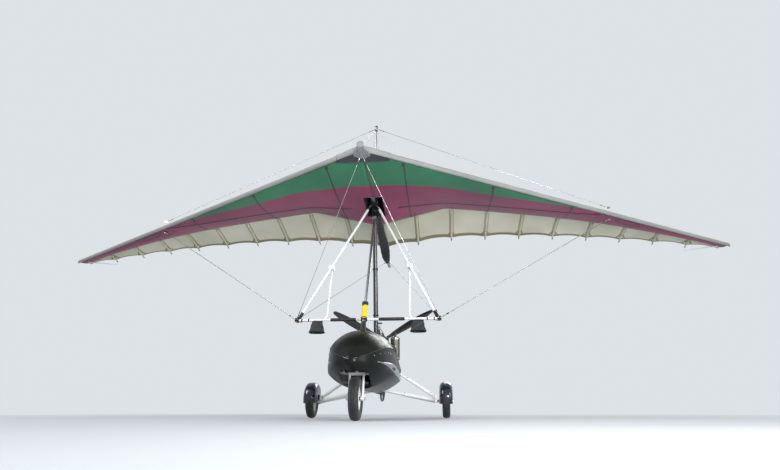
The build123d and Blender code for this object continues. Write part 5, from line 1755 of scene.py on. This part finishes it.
@dataclass
class Wheels:
    """Treaded tyres, rim hardware and the spats over the rear wheels."""

    radius: float = 0.197
    half_width: float = 0.048
    track: float = 1.68
    rear_y: float = 0.50
    nose_y: float = -1.33
    spat_half: float = 0.084
    lugs: int = 44
    # Tyre half profile: columns radius, distance out from the middle
    section: tuple = ((0.112, 0.036), (0.118, 0.042), (0.126, 0.0435), (0.130, 0.0455), (0.150, 0.048),
                      (0.168, 0.0465), (0.180, 0.0415), (0.1875, 0.034), (0.1925, 0.0255), (0.1945, 0.0195),
                      (0.1895, 0.0185), (0.1895, 0.0155), (0.1958, 0.0145), (0.1966, 0.0075),
                      (0.1910, 0.0065), (0.1910, 0.0040), (0.1970, 0.0030))

    def places(self) -> list[tuple[str, str, str, Vector]]:
        """Return the node, rim node, body and centre of each wheel."""
        half = self.track / 2
        return [("nose_tyre", "nose_rim", "nose_wheel", at(0, self.nose_y, self.radius)),
                ("rear_tyre_left", "rear_rim_left", "rear_wheel_left", at(half, self.rear_y, self.radius)),
                ("rear_tyre_right", "rear_rim_right", "rear_wheel_right",
                 at(-half, self.rear_y, self.radius))]

    def tyre(self, node: str, body: str, centre: Vector) -> None:
        """Ribbed tyre with bead line, sidewall ridge and lugs across the shoulders."""
        shape = Shape()
        outer = list(self.section)
        profile = outer + [(r, -x) for r, x in reversed(outer)]
        profile += [(0.1115, -0.030), (0.1115, 0.030)]
        place = basis(vec(1, 0, 0), centre)
        shape.lathe(profile, place, 96, 0, closed=True)
        for n in range(self.lugs):
            for side in (1, -1):
                d = ray("x", 2 * pi * (n + (0.5 if side < 0 else 0)) / self.lugs)
                a = centre + vec(side * 0.040, 0, 0) + d * 0.1815
                b = centre + vec(side * 0.0225, 0, 0) + d * 0.1925
                shape.rod(a, b, 0.0045, 0.0032, 6, 0)
        shape.save(f"{node}_treaded", (Finish.TYRE,), body, replaces=[node], slot="tyre", crease_deg=30)

    def rim_details(self, node: str, body: str, centre: Vector) -> None:
        """Rim bolts, bead lip, valve and bearing cap."""
        shape = Shape()
        for side in (1, -1):
            out = vec(side, 0, 0)
            place = basis(out, centre)
            shape.lathe(((0.106, 0.026), (0.111, 0.030), (0.116, 0.040), (0.1205, 0.0425), (0.122, 0.0415),
                         (0.118, 0.038), (0.1125, 0.028)), place, 72, 0)
            for n in range(6):
                d = ray("x", radians(30 + 60 * n))
                shape.bolt(centre + out * 0.0095 + d * 0.070, out, 0.006, 1)
            shape.lathe(((0.0, 0.046), (0.010, 0.0455), (0.0155, 0.042), (0.0175, 0.035), (0.018, 0.033)),
                        place, 28, 2 if side > 0 else 1)
        shape.rod(centre + vec(0.008, 0.086, 0), centre + vec(0.030, 0.094, 0), 0.0035, sides=12, index=2)
        shape.save(f"{node}_hardware", (Finish.RIM, Finish.STEEL, Finish.GAITER), body, slot="rim_white")

    def outline(self) -> list[tuple[float, float]]:
        """Return the spat's side-view outline from its front foot over the top to the tail."""
        y0, z0 = self.rear_y, self.radius
        corners = [(y0 + dy, z0 + dz) for dy, dz in (
            (-0.190, -0.020), (-0.196, 0.070), (-0.160, 0.150), (-0.090, 0.207), (-0.010, 0.229),
            (0.090, 0.222), (0.190, 0.178), (0.280, 0.110), (0.345, 0.035), (0.318, -0.030))]
        table = [(n / (len(corners) - 1), *corner) for n, corner in enumerate(corners)]
        return [(smooth_interpolate(table, n / 60, 1), smooth_interpolate(table, n / 60, 2))
                for n in range(61)]

    def spat(self, name: str, side: int) -> None:
        """Teardrop wheel fairing with rounded shoulders, open below and slotted for the axle."""
        outline = self.outline()
        core = (self.rear_y + 0.05, self.radius - 0.028)
        shape = Shape()

        def place(u: float, v: float) -> Vector:
            y, z = outline[round(u * 60)]
            turn = pi * (v - 0.5)
            x = self.spat_half * power(sin(turn), 0.62)
            k = abs(cos(turn)) ** 0.30 if abs(v - 0.5) < 0.4999 else 0.0
            rear = smooth_step(y, self.rear_y + 0.12, self.rear_y + 0.36)
            x *= 1 - 0.35 * rear * k
            return at(side * self.track / 2 + x, core[0] + (y - core[0]) * k, core[1] + (z - core[1]) * k)

        shape.grid(60, 40, place)
        shape.weld(5e-4)
        centre = at(side * self.track / 2, self.rear_y + 0.06, self.radius)
        shape.face_away(lambda q: q - centre)
        piece = shape.save(f"spat_shell_{name}", (Finish.SPAT,), "trike", replaces=[f"spat_{name}"],
                           slot="spat_navy", crease_deg=50, thick=0.004)
        slot = Shape()
        inner = at(side * (self.track / 2 - self.spat_half), self.rear_y - 0.005, self.radius + 0.005)
        slot.box(Matrix.Translation(inner), (0.10, 0.114, 0.15))
        cut_out(piece, slot)
        edge = Shape()
        edge.bolt(at(side * (self.track / 2 + self.spat_half - 0.002), self.rear_y, self.radius + 0.004),
                  vec(side, 0, 0), 0.010)
        for dy, dz in ((-0.10, 0.10), (0.10, 0.12), (0.0, 0.165)):
            spot = at(side * (self.track / 2 + self.spat_half - 0.004), self.rear_y + dy, self.radius + dz)
            edge.rod(spot, spot + vec(side * 0.005, 0, 0), 0.006, 0.0045, 16)
        edge.save(f"spat_screws_{name}", (Finish.STEEL,), "trike", slot="steel_fittings")

    def gear_joints(self) -> None:
        """Bolts and lugs where the gear tubes meet the uprights, and collars on the tubes."""
        shape = Shape()
        for side in (1, -1):
            hub = side * (self.track / 2 - 0.128)
            for y, z in ((0.494, 0.250), (0.474, 0.205), (0.516, 0.197)):
                shape.bolt(at(hub, y - 0.046, z), vec(0, -1, 0), 0.008)
                shape.bolt(at(hub, y + 0.036, z), vec(0, 1, 0), 0.008)
            for (ax, ay, az), (bx, by, bz) in Pod.gear_tubes:
                a, b = at(side * ax, ay, az), at(side * bx, by, bz)
                for share, r in ((0.455, 0.0198), (0.97, 0.0208)):
                    d = (b - a).normalized()
                    spot = a.lerp(b, share)
                    shape.band(spot, d, 0.009, r)
        shape.save("gear_fittings", (Finish.STEEL, Finish.TUBE_WHITE), "trike", slot="gear_white")

    def fork_details(self) -> None:
        """Grips on the foot pegs and axle nuts."""
        shape = Shape()
        for side in (1, -1):
            for n in range(7):
                grip = self.peg_centre() + vec(side * (0.130 + 0.011 * n), 0, 0)
                shape.rod(grip, grip + vec(side * 0.005, 0, 0), 0.0155, index=1)
        shape.bolts([(self.half_width + 0.035, self.nose_y, self.radius)], 0.011)
        shape.save("fork_fittings", (Finish.STEEL, Finish.GAITER), "nose_fork", slot="steel_fittings")

    def peg_centre(self) -> Vector:
        """Return the middle of the foot bar's line, ahead of the steering head."""
        rake = radians(14)
        head = vec(0, self.nose_y + 0.064, 0.475)
        down = vec(0, -sin(rake), -cos(rake))
        ahead = vec(0, -cos(rake), sin(rake))
        spot = head + down * 0.020 + ahead * -0.036
        return at(0, spot.y, spot.z)

    def build(self) -> None:
        """Make wheels, spats and fork details."""
        for node, rim, body, centre in self.places():
            self.tyre(node, body, centre)
            self.rim_details(rim, body, centre)
        for name, side in SIDES:
            self.spat(name, side)
        self.gear_joints()
        self.fork_details()


# Engine, controls and frame


@dataclass
class Engine:
    """Propeller blades and the small parts of the open engine, its exhaust and the tank."""

    crank_z: float = 0.78
    head_z: float = 1.0075
    cylinders: tuple = (0.440, 0.572)
    hub_y: float = 0.95
    hub_z: float = 1.0
    # Columns radius, chord, thickness, pitch angle of a blade
    blade_rows: tuple = ((0.078, 0.056, 0.034, 46.0), (0.20, 0.092, 0.022, 34.0),
                         (0.43, 0.108, 0.014, 22.0), (0.65, 0.086, 0.009, 16.0), (0.80, 0.044, 0.005, 13.0))

    def head_parts(self) -> None:
        """Head nuts, plug caps and the cooling fins' tie studs."""
        shape = Shape()
        top = self.head_z
        for y in self.cylinders:
            for dx, dy in ((0.042, 0.036), (-0.042, 0.036), (0.042, -0.036), (-0.042, -0.036)):
                shape.bolt(at(dx, y + dy, top), vec(0, 0, 1), 0.008)
                shape.rod(at(dx * 1.3, y + dy * 1.35, top - 0.150), at(dx * 1.3, y + dy * 1.35, top - 0.01),
                          0.003, sides=10)
            shape.lathe(((0.0, 0.058), (0.006, 0.058), (0.011, 0.052), (0.0135, 0.03), (0.016, 0.012),
                         (0.016, 0.0), (0.0, 0.0)), Matrix.Translation(at(0, y, top + 0.020)), 24, 1)
        shape.save("head_nuts_and_plug_caps", (Finish.STEEL, Finish.GAITER), "trike", slot="engine_fins")

    def intake(self) -> None:
        """Pleated air filters with their end plates and clamps."""
        shape = Shape()
        z = self.crank_z + 0.105
        for y in self.cylinders:
            profile = []
            for n in range(24):
                t = n / 23
                r = 0.0315 + 0.0155 * t + (0.0022 if n % 2 else 0.0)
                profile.append((r, 0.128 + 0.088 * t))
            profile += [(0.046, 0.222), (0.0, 0.222)]
            shape.lathe(profile, basis(vec(-1, 0, 0), at(0, y, z)), 40, 0)
            shape.lathe(((0.0488, 0.214), (0.0495, 0.218), (0.0495, 0.226), (0.044, 0.229), (0.0, 0.229)),
                        basis(vec(-1, 0, 0), at(0, y, z)), 40, 1)
            for x in (0.078, 0.121):
                shape.rod(at(-x, y, z), at(-x - 0.009, y, z), 0.0245 if x < 0.1 else 0.0335, sides=32,
                          index=2)
        shape.save("air_filters", (Finish.FILTER_RED, Finish.PANEL, Finish.STEEL), "trike",
                   slot="engine_fins")

    def case_parts(self) -> None:
        """Case bolts, the recoil starter's slotted cover, gearbox bolts and rubber mounts."""
        shape = Shape()
        front = at(0, 0.3185, self.crank_z)
        ahead = vec(0, -1, 0)
        place = basis(ahead, front)
        shape.lathe(((0.0, 0.016), (0.022, 0.0155), (0.030, 0.010), (0.052, 0.008), (0.064, 0.004),
                     (0.070, -0.006), (0.070, -0.010)), place, 48, 0)
        for n in range(14):
            d = ray("y", 2 * pi * n / 14)
            shape.rod(front + d * 0.034 + ahead * 0.0095, front + d * 0.054 + ahead * 0.0085, 0.0032,
                      sides=8, index=1)
        for n in range(4):
            d = ray("y", pi / 4 + pi / 2 * n)
            shape.bolt(front + d * 0.066 + ahead * 0.003, ahead, 0.005, 2)
        for centre_z, r, start in ((self.crank_z, 0.062, pi), (self.hub_z, 0.055, 0)):
            for n in range(7):
                turn = start + pi * n / 6
                spot = at(r * cos(turn), 0.7272, centre_z + r * sin(turn))
                shape.bolt(spot, vec(0, 1, 0), 0.006, 2)
        for side in (1, -1):
            for y in (0.40, 0.61):
                spot = at(side * 0.062, y, 0.7035)
                shape.rod(spot, spot + vec(0, 0, 0.003), 0.022, sides=28, index=1)
                shape.bolt(at(side * 0.062, y, 0.668), vec(0, 0, -1), 0.009, 2)
        shape.bolts([(0.0882, 0.40 + 0.055 * n, self.crank_z) for n in range(5)], 0.006, 2)
        shape.save("engine_case_parts", (Finish.CAST, Finish.GAITER, Finish.STEEL), "trike",
                   slot="engine_cast")

    def exhaust_parts(self) -> None:
        """Port flanges with bolts, the after-muffler's bands and a tension spring."""
        shape = Shape()
        z = self.crank_z + 0.110
        for y, lean in ((self.cylinders[0] + 0.004, 0.048), (self.cylinders[1] - 0.004, -0.052)):
            d = vec(0.07, lean, -0.02).normalized()
            spot = at(0.082, y, z)
            shape.rod(spot - d * 0.006, spot + d * 0.004, 0.030, sides=6, index=0)
            for off in (-1, 1):
                a = spot + vec(0, off * 0.024, 0.012)
                shape.bolt(a, d, 0.006, 1)
        for height in (0.735, 0.985):
            shape.lathe(((0.0602, -0.010), (0.0625, -0.010), (0.0625, 0.010), (0.0602, 0.010)),
                        Matrix.Translation(at(0.196, 0.690, height)), 56, 1, closed=True)
        coil = [at(0.199 + 0.010 * cos(t), 0.489 + 0.010 * sin(t), 0.560 - 0.0012 * t)
                for t in (n * 0.6 for n in range(60))]
        shape.tube(coil, 0.0013, 1, sides=2)
        shape.save("exhaust_parts", (Finish.CAST, Finish.STEEL), "trike", slot="exhaust_steel")

    def blades(self) -> None:
        """Smooth twisted blades with round tips, growing out of a clamped hub."""
        shape = Shape()
        centre = at(0, self.hub_y, self.hub_z)
        tip, root = self.blade_rows[-1][0], self.blade_rows[0][0]
        for n in range(3):
            turn = Matrix.Translation(centre) @ Matrix.Rotation(radians(120 * n), 4, "Y")

            def place(u: float, v: float) -> Vector:
                r = root + (tip - root) * v
                chord, thick, angle = (smooth_interpolate(self.blade_rows, r, k) for k in (1, 2, 3))
                near = max(0.0, (r - tip + 0.03) / 0.03)
                half = chord / 2 * math.sqrt(max(0.0, 1 - 0.92 * near * near))
                round_share = 1 - smooth_step(r, root, root + 0.09)
                a = 2 * pi * u
                bulge = (0.7 if sin(a) > 0 else 0.3) * thick * sin(a) * abs(sin(a)) ** 0.6
                x = half * cos(a) * (1 - round_share) + 0.0195 * cos(a) * round_share
                out = (bulge + 0.0006 * sin(a)) * (1 - round_share) + 0.0195 * sin(a) * round_share
                t = radians(angle)
                return turn @ vec(x * cos(t) + out * sin(t), x * sin(t) - out * cos(t), -r)

            blade = Shape()
            blade.grid(28, 60, place)
            blade.seal()
            shape.absorb(blade)
            d = turn.to_3x3() @ vec(0, 0, -1)
            shape.rod(centre + d * 0.030, centre + d * 0.090, 0.020, sides=32, index=1)
        shape.lathe(((0.0, -0.055), (0.033, -0.055), (0.034, -0.053), (0.034, -0.024), (0.058, -0.023),
                     (0.062, -0.019), (0.062, -0.002), (0.0612, 0.0), (0.062, 0.002), (0.062, 0.019),
                     (0.058, 0.023), (0.041, 0.024), (0.040, 0.035), (0.038, 0.036), (0.0, 0.036)),
                    basis(vec(0, 1, 0), centre), 64, 1)
        shape.save("propeller_blades", (Finish.BLADE, Finish.HANG), "propeller", replaces=["propeller"],
                   slot="blade_black", crease_deg=50)

    def propeller_parts(self) -> None:
        """Hub bolts, spinner cap and blade collars."""
        shape = Shape()
        aft, centre = vec(0, 1, 0), at(0, self.hub_y, self.hub_z)
        for n in range(6):
            turn = radians(30 + 60 * n)
            d = vec(sin(turn), 0, -cos(turn))
            shape.bolt(centre + d * 0.050 + aft * 0.0235, aft, 0.008, 0)
        shape.lathe(((0.0, 0.052), (0.018, 0.050), (0.030, 0.044), (0.036, 0.036), (0.036, 0.034)),
                    basis(aft, centre), 40, 1)
        for n in range(3):
            turn = radians(120 * n)
            d = vec(-sin(turn), 0, -cos(turn))
            shape.lathe(((0.0205, 0.060), (0.0235, 0.062), (0.0235, 0.074), (0.0205, 0.076)),
                        basis(d, centre), 36, 0, closed=True)
        shape.save("propeller_hub_parts", (Finish.STEEL, Finish.CAST), "propeller", slot="steel_fittings")

    def hoses(self) -> None:
        """Plug leads, fuel hoses, throttle cables and the teal coolant hose by the silencer."""
        shape = Shape()
        z, top = self.crank_z, self.head_z
        for n, y in enumerate(self.cylinders):
            lead = [(0, y, top + 0.074), (0, y + 0.004, top + 0.105), (0.020, y + 0.045, top + 0.100),
                    (0.062, 0.640, top + 0.02 - 0.02 * n), (0.070, 0.664, top - 0.06),
                    (0.070, 0.664, top - 0.09)]
            shape.tube([at(*q) for q in lead], 0.0035)
            fuel = [(-0.104, y, z + 0.052), (-0.104, y, z + 0.020), (-0.110, 0.40, z - 0.06),
                    (-0.112, 0.300, z - 0.22), (-0.060, 0.235, z - 0.30), (-0.030, 0.212, 0.470)]
            shape.tube([at(*q) for q in fuel], 0.0042, 1)
            cable = [(-0.104, y, z + 0.115), (-0.104, y - 0.01, z + 0.190), (-0.100, y - 0.12, z + 0.200),
                     (-0.150, 0.235, z - 0.02), (-0.262, 0.120, 0.600), (-0.276, 0.020, 0.568)]
            shape.tube([at(*q) for q in cable], 0.0025)
        teal = [(0.088, 0.600, 0.790), (0.118, 0.604, 0.786), (0.136, 0.610, 0.720), (0.128, 0.620, 0.600),
                (0.104, 0.606, 0.520), (0.066, 0.585, 0.470), (0.040, 0.560, 0.440)]
        shape.tube([at(*q) for q in teal], 0.011, 1)
        for end in (teal[0], teal[-1]):
            spot = at(*end)
            shape.rod(spot - vec(0.004, 0, 0), spot + vec(0.010, 0, 0), 0.0135, sides=24, index=2)
        shape.box(Matrix.Translation(at(0.072, 0.664, top - 0.110)), (0.030, 0.044, 0.050))
        shape.save("hoses_and_leads", (Finish.GAITER, Finish.TEAL, Finish.STEEL), "trike",
                   slot="rubber_black")

    def starter_pull(self) -> None:
        """Recoil handle on its cord, held in an eye on the mast."""
        shape = Shape()
        cord = [(0.066, 0.344, 0.800), (0.060, 0.322, 0.900), (0.046, 0.268, 1.020), (0.040, 0.228, 1.120)]
        shape.tube([at(*q) for q in cord], 0.0022, 1)
        end = at(*cord[-1])
        shape.rod(end - vec(0.034, 0, -0.006), end + vec(0.034, 0, 0.006), 0.009, sides=20)
        shape.rod(at(0.030, 0.226, 1.085), at(0.058, 0.240, 1.085), 0.008, sides=16, index=2)
        shape.save("starter_pull", (Finish.PANEL, Finish.LINE, Finish.STEEL), "trike", slot="panel_black")

    def tank_parts(self) -> None:
        """Filler cap with grip ribs, and two straps round the tank."""
        shape = Shape()
        cap = at(0.09, 0.09, 0.488)
        shape.lathe(((0.0, 0.016), (0.024, 0.016), (0.030, 0.012), (0.031, 0.0), (0.0, 0.0)),
                    Matrix.Translation(cap), 36, 0)
        for n in range(18):
            d = vec(cos(2 * pi * n / 18), sin(2 * pi * n / 18), 0)
            shape.rod(cap + d * 0.0305 + vec(0, 0, 0.001), cap + d * 0.0305 + vec(0, 0, 0.012), 0.002,
                      sides=6)
        strap = ((0.049, 0.372), (0.049, 0.474), (0.056, 0.481), (0.232, 0.481), (0.239, 0.474),
                 (0.239, 0.372), (0.232, 0.365), (0.056, 0.365))
        for x in (-0.09, 0.03):
            shape.tube([at(x, y, z) for y, z in strap], 0.003, 1, closed=True, smooth=False)
        shape.save("tank_cap_and_straps", (Finish.PANEL, Finish.WEBBING), "trike", slot="tank_plastic")

    def build(self) -> None:
        """Make every part."""
        self.head_parts()
        self.intake()
        self.case_parts()
        self.exhaust_parts()
        self.blades()
        self.propeller_parts()
        self.hoses()
        self.starter_pull()
        self.tank_parts()


@dataclass
class Controls:
    """Hand levers and floor mats in the cockpit; none of them moves."""

    def lever(self, shape: Shape, foot: Vector, lean: Vector, knob: int) -> None:
        """Quadrant box with a lever and a ball knob."""
        shape.box(Matrix.Translation(foot), (0.026, 0.090, 0.040), 0.004)
        tip = foot + lean
        shape.rod(foot + lean * 0.12, tip, 0.0042, sides=14, index=1)
        shape.lathe([(0.015 * sin(pi * k / 10), -0.015 * cos(pi * k / 10)) for k in range(11)],
                    Matrix.Translation(tip), 24, knob)

    def build(self) -> None:
        """Make the controls."""
        shape = Shape()
        self.lever(shape, at(-0.268, -0.34, 0.520), vec(0.012, -0.045, 0.105), 2)
        self.lever(shape, at(0.268, -0.34, 0.520), vec(-0.012, -0.050, 0.095), 0)
        for side in (1, -1):
            shape.rod(at(side * 0.300, -0.34, 0.518), at(side * 0.262, -0.34, 0.518), 0.010, sides=16,
                      index=1)
        shape.save("cockpit_levers", (Finish.PANEL, Finish.STEEL, Finish.RED_KNOB), "trike",
                   slot="panel_black")
        mats = Shape()
        for side in (1, -1):
            mats.box(Matrix.Translation(at(side * 0.115, -0.72, 0.330))
                     @ Matrix.Rotation(radians(-side * 14), 4, "Y"), (0.130, 0.46, 0.006))
            for n in range(9):
                y = -0.90 + 0.045 * n
                a, b = at(side * 0.062, y, 0.322), at(side * 0.166, y, 0.348)
                mats.rod(a, b, 0.004, sides=8)
        mats.save("floor_mats", (Finish.GAITER,), "trike", slot="rubber_black")


@dataclass
class TrikeFrame:
    """Bolts and collars on the mast, strut, backbone and hang point."""

    pitch_z: float = 2.45

    def hang_bolts(self) -> None:
        """Hang bolt's head, nut and washers on the link, and the sleeve's clamp bolts."""
        shape = Shape()
        shape.bolts([(0.046, 0, self.pitch_z)], 0.014)
        shape.bolts([(0.0345, y, self.pitch_z + 0.085) for y in (-0.018, 0.018)], 0.007)
        shape.save("hang_bolts", (Finish.STEEL,), "hang_link", slot="steel_fittings")

    def frame_fittings(self) -> None:
        """Collars and cross bolts of the mast, bolts along the backbone and the strut's end collars."""
        shape = Shape()
        foot, top = at(0, 0.300, 0.363), at(0, 0.004, 2.395)
        d = (top - foot).normalized()
        for share, r in ((0.012, 0.033), (0.16, 0.0315), (0.42, 0.0315), (0.70, 0.0315), (0.985, 0.033)):
            spot = foot.lerp(top, share)
            shape.band(spot, d, 0.012, r, 36)
            for side in (1, -1):
                shape.bolt(spot + vec(side * r, 0, 0), vec(side, 0, 0), 0.008)
        shape.bolts([(0.026, -0.058, 2.409)], 0.009)
        shape.bolts([(0.0275, y, 0.330) for y in (-1.05, -0.36, 0.02, 0.566)], 0.008)
        upper, lower = at(0, -0.780, 1.182), at(0, -0.856, 1.008)
        line = (lower - upper).normalized()
        for spot in (upper - line * 0.004, lower):
            shape.band(spot, line, 0.016, 0.0345, 36, 2)
        shape.save("frame_fittings", (Finish.STEEL, Finish.HANG, Finish.GAITER), "trike",
                   slot="steel_fittings")

    def build(self) -> None:
        """Make every fitting."""
        self.hang_bolts()
        self.frame_fittings()


# Stage


@dataclass
class Studio:
    """Pale floor, soft light and the camera, which stands at floor level ahead of the nose."""

    distance: float = 6.8
    azimuth: float = radians(7.0)
    eye_z: float = 0.10
    aim: tuple = (0.18, 0.0, 2.25)
    lens: float = 25.4
    backdrop: str = "#DDE2E7"
    fade_m: tuple = (3.5, 9.0)  # the floor turns into the backdrop between these radii

    def floor(self) -> None:
        """A wide pale floor that keeps the aircraft's shadow."""
        shape = Shape()
        bmesh.ops.create_grid(shape.bm, x_segments=1, y_segments=1, size=60)
        mesh = shape.mesh("floor")
        s = Surface("floor_paint", Roughness=0.9)
        far = s.add("VectorMath", {"operation": "LENGTH"}, {0: s.where()}).outputs["Value"]
        fade = s.times(s.spread(far, *self.fade_m), s.add("LightPath").outputs["Is Camera Ray"])
        s.show(fade, s.shade, s.add("Emission", inputs={"Color": linear(self.backdrop)}))
        mesh.materials.append(s.feed(Base_Color=s.mix(s.grain(s.where(), 1500, 3), "#BCC1C5", "#B7BCC0")))
        floor = bpy.data.objects.new("floor", mesh)
        bpy.context.scene.collection.objects.link(floor)
        floor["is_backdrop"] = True

    def world(self) -> None:
        """Even pale light, with a plain backdrop for what looks past the aircraft."""
        world = bpy.data.worlds.new("studio")
        bpy.context.scene.world = world
        world.use_nodes = True
        s = Nodes(world.node_tree)
        light, back = (s.add("Background", inputs={"Color": linear(colour), "Strength": strength})
                       for colour, strength in (("#F2F4F8", 0.62), (self.backdrop, 1.0)))
        path = s.add("LightPath").outputs
        seen = s.calc("MAXIMUM", path["Is Camera Ray"], path["Is Transmission Ray"])
        s.show(seen, light, back, "World Output")

    def lamp(self, name: str, place: Sequence[float], aim: Sequence[float], size: float,
             watts: float) -> None:
        """Add a soft square lamp."""
        data = bpy.data.lights.new(name, "AREA")
        data.size, data.energy = size, watts
        lamp = bpy.data.objects.new(name, data)
        lamp.location = place
        lamp.rotation_euler = (Vector(aim) - Vector(place)).to_track_quat("-Z", "Y").to_euler()
        bpy.context.scene.collection.objects.link(lamp)

    def build(self) -> None:
        """Set up the stage."""
        scene = bpy.context.scene
        scene.view_settings.view_transform = "Standard"
        self.floor()
        self.world()
        self.lamp("key", (-7.0, -6.0, 8.5), (0, 0, 1.5), 5.0, 700.0)
        self.lamp("fill", (8.0, -5.0, 3.5), (0, 0, 1.8), 5.0, 320.0)
        self.lamp("under", (2.5, -6.5, 1.1), (0, 0.5, 2.6), 2.0, 330.0)
        self.lamp("rim", (3.0, 8.5, 6.0), (0, 0, 1.5), 5.0, 420.0)
        camera = bpy.data.objects.new("camera", bpy.data.cameras.new("camera"))
        place = vec(sin(self.azimuth) * self.distance, -cos(self.azimuth) * self.distance, self.eye_z)
        camera.location = place
        camera.rotation_euler = (Vector(self.aim) - place).to_track_quat("-Z", "Y").to_euler()
        camera.data.lens = self.lens
        scene.collection.objects.link(camera)
        scene.camera = camera


# Dressing of the rigid parts that stay

DRESS = {
    Finish.FRAME: "base_tube seat_frame engine_mount",
    Finish.MAST: "mast",
    Finish.STEEL: "mast_head wire_tangs flying_wires landing_wires",
    Finish.SILVER: "front_strut kingpost",
    Finish.YELLOW: "strut_sleeve",
    Finish.GAITER: "strut_neck",
    Finish.POD: "pod_lower pod_nose_cowl",
    Finish.PANEL: "instrument_panel",
    Finish.SEAT: "front_seat rear_seat",
    Finish.TANK: "fuel_tank",
    Finish.CAST: "engine_block gearbox carburettors",
    Finish.FINS: "engine_cylinders",
    Finish.EXHAUST: "exhaust",
    Finish.TUBE_WHITE: "gear_leg_left gear_leg_right nose_fork base_bar training_bars tip_rods "
                       "downtube_left downtube_right",
    Finish.SPAT: "spat_left spat_right",
    Finish.TYRE: "nose_tyre rear_tyre_left rear_tyre_right",
    Finish.RIM: "nose_rim rear_rim_left rear_rim_right",
    Finish.BLADE: "propeller",
    Finish.HANG: "hang_link apex_bracket corner_brackets",
    Finish.KEEL: "wing_keel battens leading_edge_left leading_edge_right",
    Finish.NOSE: "nose_plate",
    Finish.POCKET_BLACK: "keel_pocket",
    Finish.MUFF: "hand_muffs",
}


def dress_nodes() -> None:
    """Give each rigid part its finish."""
    for finish, names in DRESS.items():
        for name in names.split():
            node = FRAME["nodes"][name]
            node.data.materials.clear()
            node.data.materials.append(finish.get())


def main(cad_box: tuple[Vector, Vector]) -> None:
    """Build the aircraft's looks and its studio."""
    plan = WingPlan()
    dress_nodes()
    for group in (Sail(plan), WingFrame(plan), Pod(), Instruments(), Seats(), Wheels(), Engine(),
                  Controls(), TrikeFrame(), Studio()):
        group.build()


if __name__ == "__main__":
    logging.basicConfig(level=logging.INFO, format="%(message)s")
    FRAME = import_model()
    main(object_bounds())
